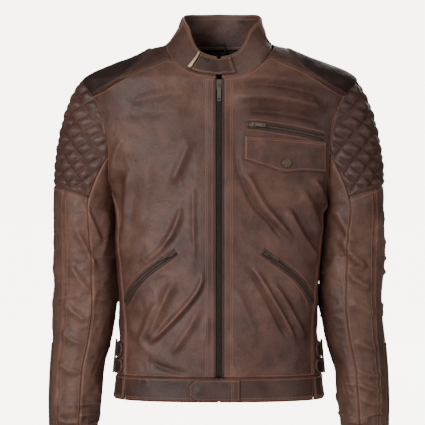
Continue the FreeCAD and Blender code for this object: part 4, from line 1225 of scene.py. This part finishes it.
def back_lining():
    """Lining of back and sides with the protector pocket; the armholes stay open."""
    cols, rows = 100, 110
    phis = np.linspace(73.2, 286.8, cols)
    phi = np.repeat(phis[:, None], rows, 1)
    top = neck_z(np.minimum(phis, 360 - phis)) - 2.5
    z = 46 + (top[:, None] - 46) * np.linspace(0, 1, rows)[None]
    pts, normals = torso_surface(phi, z)
    inset = 45 - np.abs(phi - 180)
    pad = ease(inset, 0, 7) * ease(z, 146, 160) * ease(504 - z, 0, 14)
    border = ease(inset, -6, 0) * ease(z, 140, 148) * ease(510 - z, 0, 8)
    rise = -5.6 - 12.5 * pad - 0.8 * border + shell_relief(pts) * (1 - pad)
    verts = (pts + normals * rise[..., None]).reshape(-1, 3)
    quads = grid_quads(cols, rows)
    quad_phi, quad_z = phi.ravel()[quads].mean(1), z.ravel()[quads].mean(1)
    quad_phi = np.where(quad_phi > 180, 360 - quad_phi, quad_phi)
    in_armhole = ((quad_phi - 90) / (ARM_W + 1.5)) ** 2 \
        + ((quad_z - ARM_Z) / (ARM_H + 5)) ** 2 < 1
    quads = quads[~in_armhole]
    used = np.unique(quads)
    new_index = np.full(cols * rows, -1)
    new_index[used] = np.arange(len(used))
    mesh = Mesh()
    mesh.add(verts[used], new_index[quads].tolist())
    finish(mesh, "lining_back", [LINING], "torso",
           ("lining_back", "back_protector"), wall=0.9)


back_panel()
band_phi = phi_of(SIDE_SEAM_X + GAP, BAND_H)
band_phis = np.linspace(band_phi, 360 - band_phi, 80)
waistband("waistband_back", band_phis, band_phis, "torso")
collar_part("collar_back", np.linspace(74.0, 286.0, 80), back_collar_relief,
            [("l", 3.6), ("r", 3.6)], [("t", 3.4), ("t", 8.4), ("b", 6.0)], "torso")
back_lining()

# ------------------------------------------------------------------ sleeves
QUILT_PITCH, QUILT_SLANT = 30.0, 0.93
ARMHOLE_END = -0.03                   # sleeves start a little inside the armhole

# the upper sleeve, sampled from the armhole to the underarm ring
upper_angles = np.linspace(-180, 180, 121)
upper_alongs = np.linspace(0, 1.0, 120)
upper_pts = sleeve(upper_angles[:, None], upper_alongs[None])
upper_run = run_length(upper_pts, 1)


def along_at_height(angle, z):
    """Lowest sleeve position above the ring that reaches a height."""
    alongs = np.linspace(0.02, 1.0, 400)
    reached = np.nonzero(sleeve(np.full(400, angle), alongs)[:, 2] >= z)[0]
    return alongs[reached[-1]] if len(reached) else 0.02


quilt_edge = curve([(angle, along_at_height(angle, 360.0 + 16 * math.cos(math.radians(angle))))
                    for angle in range(-110, 111, 10)])
quilt_length = curve([
    (angle, np.interp(quilt_edge(angle), upper_alongs, upper_run[int((angle + 180) / 3)]))
    for angle in range(-108, 109, 12)])


def bend_reach(angle):
    """Length below the armhole over which the sleeve blends from torso to arm."""
    size = np.abs(angle)
    over = np.minimum(88.0, 0.93 * quilt_length(np.clip(angle, -UNDER_SEAM, UNDER_SEAM)))
    seam = np.minimum(88.0, 0.93 * quilt_length(np.sign(angle) * UNDER_SEAM))
    return np.where(size <= UNDER_SEAM, over,
                    seam + (106 - seam) * ease(size, UNDER_SEAM, 160))


arm_weight_near = nearest_value(
    upper_pts.reshape(-1, 3), ease(upper_run, 0.0, bend_reach(upper_angles)[:, None]).ravel())


def arm_move(side, name):
    def weight(pts):
        return np.where(pts[:, 2] < 258, 1.0, arm_weight_near(pts * np.array([side, 1, 1.0])))
    return "torso", "arm_" + name, weight


def elbow_move(name):
    return "arm_" + name, "forearm_" + name, lambda pts: ease(pts[:, 2], 246, 184)


def lane(angle0, angle1, low, high, step=STEP):
    """Sleeve grid round the arm and up it; low and high give its ends at an angle."""
    count = int(abs(angle1 - angle0) / 180.0 * math.pi * 54 / step)
    angles = np.linspace(angle0, angle1, max(count, 6))
    columns = []
    for angle in angles:
        alongs = np.linspace(low(angle), high(angle), 80)
        columns.append((alongs, run_length(sleeve(np.full(80, angle), alongs), 0)))
    rows = max(int(max(run[-1] for _, run in columns) / step), 6)
    alongs = np.array([np.interp(np.linspace(0, run[-1], rows), run, column)
                       for column, run in columns])
    return np.repeat(angles[:, None], rows, 1), alongs


def distance_from_top(pts):
    run = run_length(pts, 1)
    return run[:, -1:] - run


def quilt(across, height):
    """Puffed diamonds between two sets of diagonal valleys."""
    gaps = []
    for sign in (1, -1):
        turns = (across + sign * height * QUILT_SLANT) / QUILT_PITCH
        gaps.append(np.abs(turns - np.round(turns)) * QUILT_PITCH * 0.70)
    from_crossing = np.hypot(np.minimum(gaps[0], 9), np.minimum(gaps[1], 9))
    return 5.4 * (1 - np.exp(-(np.minimum(*gaps) / 5.2) ** 1.25)) \
        + 0.9 * np.clip(from_crossing / 12, 0, 1) - 4.4


def quilt_thread(mesh, outer, across, height, edge_distance, normal_at):
    """Stitches in the quilting valleys."""
    tree = kd_tree(np.stack([across.ravel(), height.ravel(), np.zeros(across.size)], 1))
    places, edge_distance = outer.reshape(-1, 3), edge_distance.ravel()
    heights = np.arange(0, height.max(), 1.2)
    kernel = np.array([1, 2, 3, 2, 1.0]) / 9
    for sign in (1, -1):
        for valley in range(-12, 14):
            path = []
            for a, h in zip(valley * QUILT_PITCH - sign * heights * QUILT_SLANT, heights):
                if not across.min() + 3 < a < across.max() - 3:
                    continue
                _, index, distance = tree.find((a, h, 0))
                if distance < 2.5 and edge_distance[index] > 5:
                    found = tree.find_n((a, h, 0), 4)
                    weights = np.array([1 / (hit[2] + 0.05) for hit in found])
                    near = np.array([places[hit[1]] for hit in found])
                    path.append((near * weights[:, None]).sum(0) / weights.sum())
            # over 10 points, so that more than 6 are left once smoothed
            if len(path) > 10:
                path = np.array(path)
                smooth = np.stack([np.convolve(path[:, k], kernel, "valid")
                                   for k in range(3)], 1)
                stitches(mesh, smooth, normal_at, lift=0.5, pitch=4.0, length=2.9)


def quilted_panel(side, name):
    # sleeve angles run the other way round from torso angles, so the sheet turns over
    flip = side > 0
    angle, along = lane(-UNDER_SEAM + 0.08, UNDER_SEAM - 0.08, quilt_edge,
                        lambda angle: ARMHOLE_END, STEP * 0.85)
    pts, normals = sleeve_surface(side)(angle, along)
    across = angle / 180 * math.pi * 58 + 6.0
    height = (pts[..., 2] - 350.0) * 1.06
    roll, edge_distance = edge_roll(pts, 1.6, 5.0)
    rise = (quilt(across, height) + 1.4) * ease(edge_distance, 2, 10) + roll \
        + sleeve_relief(pts) * 0.3 + 2.6 * hump(distance_from_top(pts), 22.0)
    mesh = Mesh()
    outer = sheet(mesh, pts, normals, rise, 4.0, flip, 0, 2)
    normal_at = stitch_rows(mesh, outer, flip, [
        ("b", 3.4), ("b", 6.4), ("l", 3.6), ("r", 3.6), ("t", 3.4)])
    quilt_thread(mesh, outer, across, height, edge_distance, normal_at)
    finish(mesh, "quilted_panel_" + name, [QUILTED, DARK_THREAD, LINING], arm_move(side, name))


def sleeve_top(side, name):
    """One piece from the quilted panel to the cuff, thick where the elbow pad is."""
    flip = side > 0
    surface = sleeve_surface(side)
    angle, along = lane(-UNDER_SEAM + 0.08, UNDER_SEAM - 0.08, lambda angle: 2.0,
                        lambda angle: quilt_edge(angle) - 0.016)
    pts, normals = surface(angle, along)
    z = pts[..., 2]
    from_zip = np.abs((angle - CUFF_ZIP) / 180 * math.pi * sleeve_half(z))
    free = np.clip(ease(from_zip, 8, 18) + ease(z, 104, 120), 0.0, 1)
    from_seam = (angle - SLEEVE_SEAM) / 180 * math.pi * 50
    # tucked under the quilted panel at the top, and grooved along the seam
    rise = edge_roll(pts, edges="lrb")[0] + sleeve_relief(pts) * free \
        - 3.4 * ease(-distance_from_top(pts), -7.0, -3.0) \
        - 1.1 * hump(from_seam, 1.3) + 0.8 * hump(from_seam + 3.5, 3.0)
    pad = ease(angle, -98, -90) * ease(-22 - angle, 0, 8) * ease(z, 76, 88) \
        * ease(200 - z, 0, 12)
    mesh = Mesh()
    outer = sheet(mesh, pts, normals, rise, 2.2 + 11.0 * pad, flip, 0, 2)
    normal_at = stitch_rows(mesh, outer, flip, [
        ("b", 3.6), ("b", 9.0), ("l", 3.6), ("r", 3.6), ("t", 11.5)])
    for offset in (-4.5, 4.5):
        row_angle = SLEEVE_SEAM + offset / 50 * 180 / math.pi
        row = np.array([[np.interp(row_angle, angle[:, 0], outer[:, j, k]) for k in range(3)]
                        for j in range(outer.shape[1])])
        stitches(mesh, row[2:-2], normal_at)
    for offset in (-7.2, 7.2):
        zs = np.arange(-90, 106, 2.0)
        row = surface(CUFF_ZIP + np.degrees(offset / sleeve_half(zs)), along_of(zs))[0]
        stitches(mesh, row, normal_at, lift=0.3)
    finish(mesh, "sleeve_top_" + name, [SLEEVES, TAN_THREAD, LINING], elbow_move(name),
           stands_for=("sleeve_top_" + name, "forearm_top_" + name, "elbow_armour_" + name))


def under_sleeve(side, name, low, high, edges, end_rows, split, move):
    grid = lane(UNDER_SEAM + 0.08, 360 - UNDER_SEAM - 0.08, lambda angle: low,
                lambda angle: high)
    pts, normals = sleeve_surface(side)(*grid)
    mesh = Mesh()
    rise = edge_roll(pts, edges=edges)[0] + sleeve_relief(pts)
    outer = sheet(mesh, pts, normals, rise, 2.2, side > 0, 0, 2, split)
    stitch_rows(mesh, outer, side > 0, [("l", 3.6), ("r", 3.6)] + end_rows)
    finish(mesh, name, [SLEEVES, TAN_THREAD, LINING], move)


for side, name in SIDES:
    quilted_panel(side, name)
    sleeve_top(side, name)
    join = along_of(250.0)
    under_sleeve(side, "sleeve_under_" + name, join + 0.0008, ARMHOLE_END, "lrt",
                 [("t", 3.4)], 0, arm_move(side, name))
    under_sleeve(side, "forearm_under_" + name, 2.0, join, "lrb",
                 [("b", 3.6), ("b", 9.0)], 1, elbow_move(name))


# --------------------------------------------------------------------- zips
def front_zip(side, name):
    """Woven tape, its cord and one row of teeth."""
    def zip_y(z):
        return ZIP_Y0 + ZIP_SLOPE * z
    mesh = Mesh()
    zs = np.linspace(46, 557, 170)
    x, z = np.meshgrid(np.linspace(0.9, 13.0, 8) * side, zs, indexing="ij")
    tape = points(x, zip_y(z) + 3.3 + 0.25 * noise(x / 3, z / 30), z)
    sheet(mesh, tape, points(np.zeros_like(x), -1.0, ZIP_SLOPE), np.zeros_like(x), 0.7,
          side < 0)
    tube(mesh, points(2.9 * side, zip_y(zs) + 2.6, zs), 0.8, sides=6)
    axes = np.array([[0, ZIP_SLOPE, 1.0], [1.0, 0, 0], [0, -1.0, ZIP_SLOPE]])
    # the two rows interlock, half a pitch apart
    for z in np.arange(50 + (0 if side > 0 else 1.3), 556.5, 2.6):
        block(mesh, np.array([1.65 * side, zip_y(z) + 1.7, z]), axes, (1.25, 2.7, 1.9), 0.2)
    finish(mesh, "front_zip_chain_" + name, [TAPE, TEETH], "front_" + name,
           ("front_zip_tape_" + name, "front_zip_teeth_" + name))


def tooth_chain(mesh, path, normal_at, height, pitch=2.3, width=2.4):
    """Closed zip teeth along a line, alternating from side to side."""
    places, along = resample(path, pitch / 2)
    out = normal_at(places)
    across = unit(np.cross(out, along))
    offset = 0.1 + width / 2 - 0.9
    for i, place in enumerate(places):
        sign = 1 if i % 2 else -1
        block(mesh, place + across[i] * sign * offset, (along[i], across[i], out[i]),
              (pitch * 0.46, width, height), 0.18)


def zip_lips(mesh, path, across, normals, offset, lift, squash):
    """Leather piping on both sides of a zip."""
    for sign in (1, -1):
        tube(mesh, path + across * sign * offset + normals * lift, 1.7, mat=2,
             squash=squash, normals=normals)


def torso_normal(pts):
    phi = np.degrees(np.arctan2(pts[:, 0], -pts[:, 1]))
    return torso_surface(phi, pts[:, 2])[1]


def pocket_zip(name, pocket, side, half_tape, move):
    mesh = Mesh()
    path, normals = on_front(smooth_line(pocket, 12), side)
    along = unit(np.gradient(path, axis=0))
    across = np.cross(normals, along)
    tape = np.array([path + across * offset + normals * 0.75
                     for offset in np.linspace(-half_tape, half_tape, 7)])
    sheet(mesh, tape, np.repeat(normals[None], 7, 0), np.zeros(tape.shape[:2]), 0.5, True)
    tooth_chain(mesh, path + normals * 1.35, torso_normal, 1.3)
    zip_lips(mesh, path, across, normals, half_tape + 0.6, 0.7, 0.75)
    # end stops
    for end, sign in ((0, -1), (-1, 1)):
        block(mesh, path[end] + normals[end] * 1.5 - along[end] * sign * 1.2,
              (along[end], across[end], normals[end]), (2.2, 6.0, 1.8), 0.4)
    finish(mesh, name, [TAPE, TEETH, SLEEVES], move)


def cuff_zip(side, name):
    surface = sleeve_surface(side)
    mesh = Mesh()
    z = np.linspace(-88, 98, 90)
    angle = CUFF_ZIP + np.degrees(np.linspace(-4.0, 4.0, 7)[:, None] / sleeve_half(z)[None])
    tape, normals = surface(angle, along_of(z)[None])
    sheet(mesh, tape, normals, np.full(tape.shape[:2], 1.0), 0.5, side > 0)
    path, normals = surface(np.full(90, CUFF_ZIP), along_of(z))
    tooth_chain(mesh, path + normals * 1.5, nearest_value(path, normals), 1.2)
    across = np.cross(normals, unit(np.gradient(path, axis=0)))
    zip_lips(mesh, path, across, normals, 4.7, 0.9, 0.8)
    finish(mesh, "cuff_zip_chain_" + name, [TAPE, TEETH, SLEEVES], "forearm_" + name)


for side, name in SIDES:
    front_zip(side, name)
for side, name in SIDES:
    pocket_zip("hand_zip_chain_" + name, HAND_POCKET, side, 4.3, front_move(side, name))
pocket_zip("chest_zip_chain", CHEST_POCKET, 1, 4.2, front_move(1, "left"))
for side, name in SIDES:
    cuff_zip(side, name)


# --------------------------------------------------- flap, straps and loops
def pocket_flap():
    def relief(pts):
        x, _, z = split_xyz(pts)
        rise = 1.0 * noise(x / 30, z / 18) + 0.8 * noise(x / 13 + 5, z / 11)
        rise += 1.6 * hump(z - 452 + 0.07 * (x - FLAP_X0), 6.0)
        # pressed flat round the snap
        distance = np.hypot(x - 116, z - 414)
        rise = rise * ease(distance, 9, 18) - 0.4 * hump(distance, 11)
        return np.clip(rise, -0.5, 3.0) * 0.8
    grid = patch(*map(front_line, (FLAP_BOTTOM, FLAP_TOP, [FLAP_BOTTOM[0], FLAP_TOP[0]],
                                   [FLAP_BOTTOM[-1], FLAP_TOP[-1]])), step=STEP * 0.8)
    mesh, outer, _ = leaf(grid, relief, 2.0, lift=3.4, roll=(1.2, 3.5))
    stitch_rows(mesh, outer, False, [("b", 4.0), ("l", 4.0), ("r", 4.0), ("t", 3.2),
                                     ("t", 6.2)])
    finish(mesh, "pocket_flap", [SHELL, TAN_THREAD, BACKING], "flap")


def collar_strap():
    """Strap across the collar front, with a metal ring near its free end."""
    ring_x, ring_z, ring_radius = -21.5, 594, 3.4

    def from_ring(pts):
        return np.hypot(pts[..., 0] - ring_x, pts[..., 2] - ring_z)

    def relief(pts):
        x, _, z = split_xyz(pts)
        return 0.7 * noise(x / 17, z / 9) + 0.9 * hump(x - 6, 6.0) \
            - 0.7 * hump(from_ring(pts), 5.0)
    phis = np.linspace(-29.5, 18.5, 20)
    grid = strip(level_line(phis, 0.12), level_line(phis, 0.86), 4,
                 surface=collar_surface, step=STEP * 0.7)
    mesh, outer, _ = leaf(grid, relief, 2.2, surface=collar_surface, lift=4.3,
                          roll=(1.3, 3.2))
    normal_at = stitch_rows(mesh, outer, False, [
        ("b", 3.0), ("t", 3.0), ("l", 3.0), ("r", 3.0), ("r", 5.6)])
    centre = outer.reshape(-1, 3)[np.argmin(from_ring(outer))]
    normal = normal_at(centre[None])[0]
    across = unit(np.cross(normal, [0, 0, 1.0]))
    upward = np.cross(normal, across)
    turn = np.linspace(0, 2 * math.pi, 25)[:-1, None]
    ring = centre + across * np.cos(turn) * ring_radius \
        + upward * np.sin(turn) * ring_radius + normal * 0.6
    tube(mesh, ring, 0.95, mat=3, closed=True, normals=normal)
    finish(mesh, "collar_strap", [STRAP, TAN_THREAD, BACKING, TEETH], "neck_strap")


def waist_tab():
    """Tab across the waistband, with a rounded end on the wearer's right."""
    start_x, end_x = -51, 36
    xs = np.linspace(start_x, end_x, 60)
    rounding = np.clip((xs - start_x) / 20.0, 0, 1)
    half = 18.5 * np.sqrt(np.clip(1 - (1 - rounding) ** 2.6, 0.08, 1))
    z = 21.5 + half[:, None] * np.linspace(-1, 1, 20)[None]
    x = np.repeat(xs[:, None], 20, 1)
    pts, normals = torso_surface(phi_of(x, z), z)
    relief = 0.8 * noise(pts[..., 0] / 20, pts[..., 2] / 14) + 0.8 \
        + 1.5 * hump(np.hypot(pts[..., 0] + 33, pts[..., 2] - 21), 6.5)
    rise = edge_roll(pts, 1.2, 3.2)[0] + np.clip(relief, -0.6, 2.6) + 4.4
    mesh = Mesh()
    outer = sheet(mesh, pts, normals, rise, 2.0, False, 0, 2)
    stitch_rows(mesh, outer, False, [("b", 3.0), ("t", 3.0), ("l", 3.2), ("r", 3.2),
                                     ("r", 12.0), ("r", 15.0)])
    finish(mesh, "waist_tab", [BAND, TAN_THREAD, BACKING], "hem_tab")


def waist_straps():
    """Two straps with rounded ends on each side, and their keeper loops."""
    mesh = Mesh()
    for side in (1, -1):
        for centre_z in (58.5, 87.0):
            phis = np.linspace(phi_of(168, centre_z), 124, 56)
            run = run_length(torso(phis, np.full(56, centre_z)), 0)
            rounding = np.clip(np.minimum(run, run[-1] - run) / 9.0, 0, 1)
            half = 12.3 * np.sqrt(np.clip(1 - (1 - rounding) ** 2.5, 0.06, 1))
            z = centre_z + half[:, None] * np.linspace(-1, 1, 12)[None]
            phi = np.repeat(phis[:, None], 12, 1)
            pts, normals = torso_surface(phi * side, z)
            rise = edge_roll(pts, 1.1, 3.0)[0] + 3.9 + 0.5 * noise(phi / 4, z / 9)
            outer = sheet(mesh, pts, normals, rise, 2.2, side < 0, 0, 2)
            stitch_rows(mesh, outer, side < 0, [("b", 2.8), ("t", 2.8)])
            for keeper_phi in (80.0, 104.0):
                zs = np.linspace(centre_z - 14.5, centre_z + 14.5, 14)
                phi, z = np.meshgrid(np.linspace(keeper_phi - 1.8, keeper_phi + 1.8, 5), zs,
                                     indexing="ij")
                from_end = np.clip(np.minimum(zs - zs[0], zs[-1] - zs) / 3.0, 0, 1)
                rise = (1.2 + 4.4 * np.sqrt(from_end))[None] + np.zeros_like(phi)
                sheet(mesh, *torso_surface(phi * side, z), rise, 1.2, side < 0, mat=3)
    finish(mesh, "waist_straps", [STRAP, DARK_THREAD, BACKING, OVERLAY], "torso")


def hang_loop():
    """Cord ring inside the back of the neck, with its two tacked-down ends."""
    mesh = Mesh()
    radius = 11.35
    turn = np.linspace(0, 2 * math.pi, 49)[:-1]
    ring = points(radius * np.cos(turn), 50 + 0.3 * np.sin(3 * turn),
                  620 + radius * np.sin(turn))
    tube(mesh, ring, 1.15, closed=True, squash=1.5, normals=(0, -1.0, 0))
    for x in (-7.5, 7.5):
        t = np.linspace(0, 1, 9)
        end = points(x + 0.5 * np.sin(5 * t), 48.9 + 4.4 * t, 631.4 - 0.6 * t * t)
        tube(mesh, end, 1.5 + 0.12 * np.cos(t * 20), normals=(0, 0, 1.0))
    finish(mesh, "hang_loop", [CORD], "torso")


pocket_flap()
collar_strap()
waist_tab()
waist_straps()
hang_loop()

# CAD hardware keeps its shape and gets its own metal, by the start of its node name
HARDWARE_METALS = {
    "front_zip": FRONT_SLIDER, "hand_zip": SLIDER, "chest_zip": SLIDER, "cuff_zip": SLIDER,
    "flap_snap": STUD, "snap_studs": STUD, "collar_strap_bar": BAR, "waist_buckles": BUCKLE}
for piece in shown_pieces():
    node_name = piece.get("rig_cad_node") or ""
    for start, material in HARDWARE_METALS.items():
        if node_name.startswith(start):
            piece.data.materials.clear()
            piece.data.materials.append(material)

# ------------------------------------------- studio and view, all in metres
BACKDROP = (1.0, 0.935, 0.88, 1)
LIGHT_GAIN = 1.22                     # scales every light


def studio_floor():
    """Pale floor that glows only where the camera sees it."""
    bpy.ops.mesh.primitive_plane_add(size=80, location=(0, 0, -0.009))
    floor = bpy.context.object
    floor.name = "floor"
    m = Shader("studio_pale")
    seen = m.new("ShaderNodeLightPath").outputs["Is Camera Ray"]
    m.set(Base_Color=m.mix(m.noise(3.0, detail=2), (0.50, 0.49, 0.48, 1),
                           (0.54, 0.53, 0.52, 1)),
          Roughness=0.9, Emission_Color=BACKDROP, Emission_Strength=m.times(seen, 7.0))
    floor.data.materials.append(m.material)
    return floor


def aim(obj, location, target):
    obj.location = location
    direction = Vector(target) - obj.location
    obj.rotation_euler = direction.to_track_quat("-Z", "Y").to_euler()


def area_light(name, location, target, size, power):
    light = bpy.data.lights.new(name, "AREA")
    light.shape = "RECTANGLE"
    light.size, light.size_y = size
    light.energy = power * LIGHT_GAIN
    obj = bpy.data.objects.new(name, light)
    bpy.context.scene.collection.objects.link(obj)
    aim(obj, location, target)
    return obj


def studio_world():
    """Backdrop: bright to the camera (6.8 more), faint (0.16) as a light."""
    world = bpy.data.worlds.new("studio")
    bpy.context.scene.world = world
    world.use_nodes = True
    tree = world.node_tree
    background = tree.nodes["Background"]
    background.inputs[0].default_value = BACKDROP
    light_path = tree.nodes.new("ShaderNodeLightPath")
    strength = tree.nodes.new("ShaderNodeMath")
    strength.operation = "MULTIPLY_ADD"
    strength.inputs[1].default_value = 6.8
    strength.inputs[2].default_value = 0.16
    tree.links.new(light_path.outputs["Is Camera Ray"], strength.inputs[0])
    tree.links.new(strength.outputs[0], background.inputs[1])


def front_camera():
    camera = bpy.data.cameras.new("cam")
    camera.sensor_width = 36.0
    camera.lens = 193.6
    obj = bpy.data.objects.new("cam", camera)
    bpy.context.scene.collection.objects.link(obj)
    aim(obj, location=(-0.0114, -4.055, 0.450), target=(-0.0114, 0.005, 0.4231))
    bpy.context.scene.camera = obj


floor = studio_floor()
# name, location, target, size, power
lights = [area_light(*row) for row in (
    ("key", (-1.9, -2.5, 1.4), (0, 0, 0.32), (1.4, 1.4), 76),
    ("fill", (2.4, -2.2, 1.1), (0, 0, 0.4), (1.0, 1.6), 26),
    ("top", (0.1, -0.3, 2.8), (0, 0, 0.4), (1.0, 0.6), 8),
    ("low", (-0.7, -2.8, 0.15), (0, 0, 0.25), (1.2, 0.6), 22),
    ("back", (0.9, 3.0, 1.7), (0, 0.1, 0.35), (2.0, 2.0), 36))]
studio_world()
front_camera()
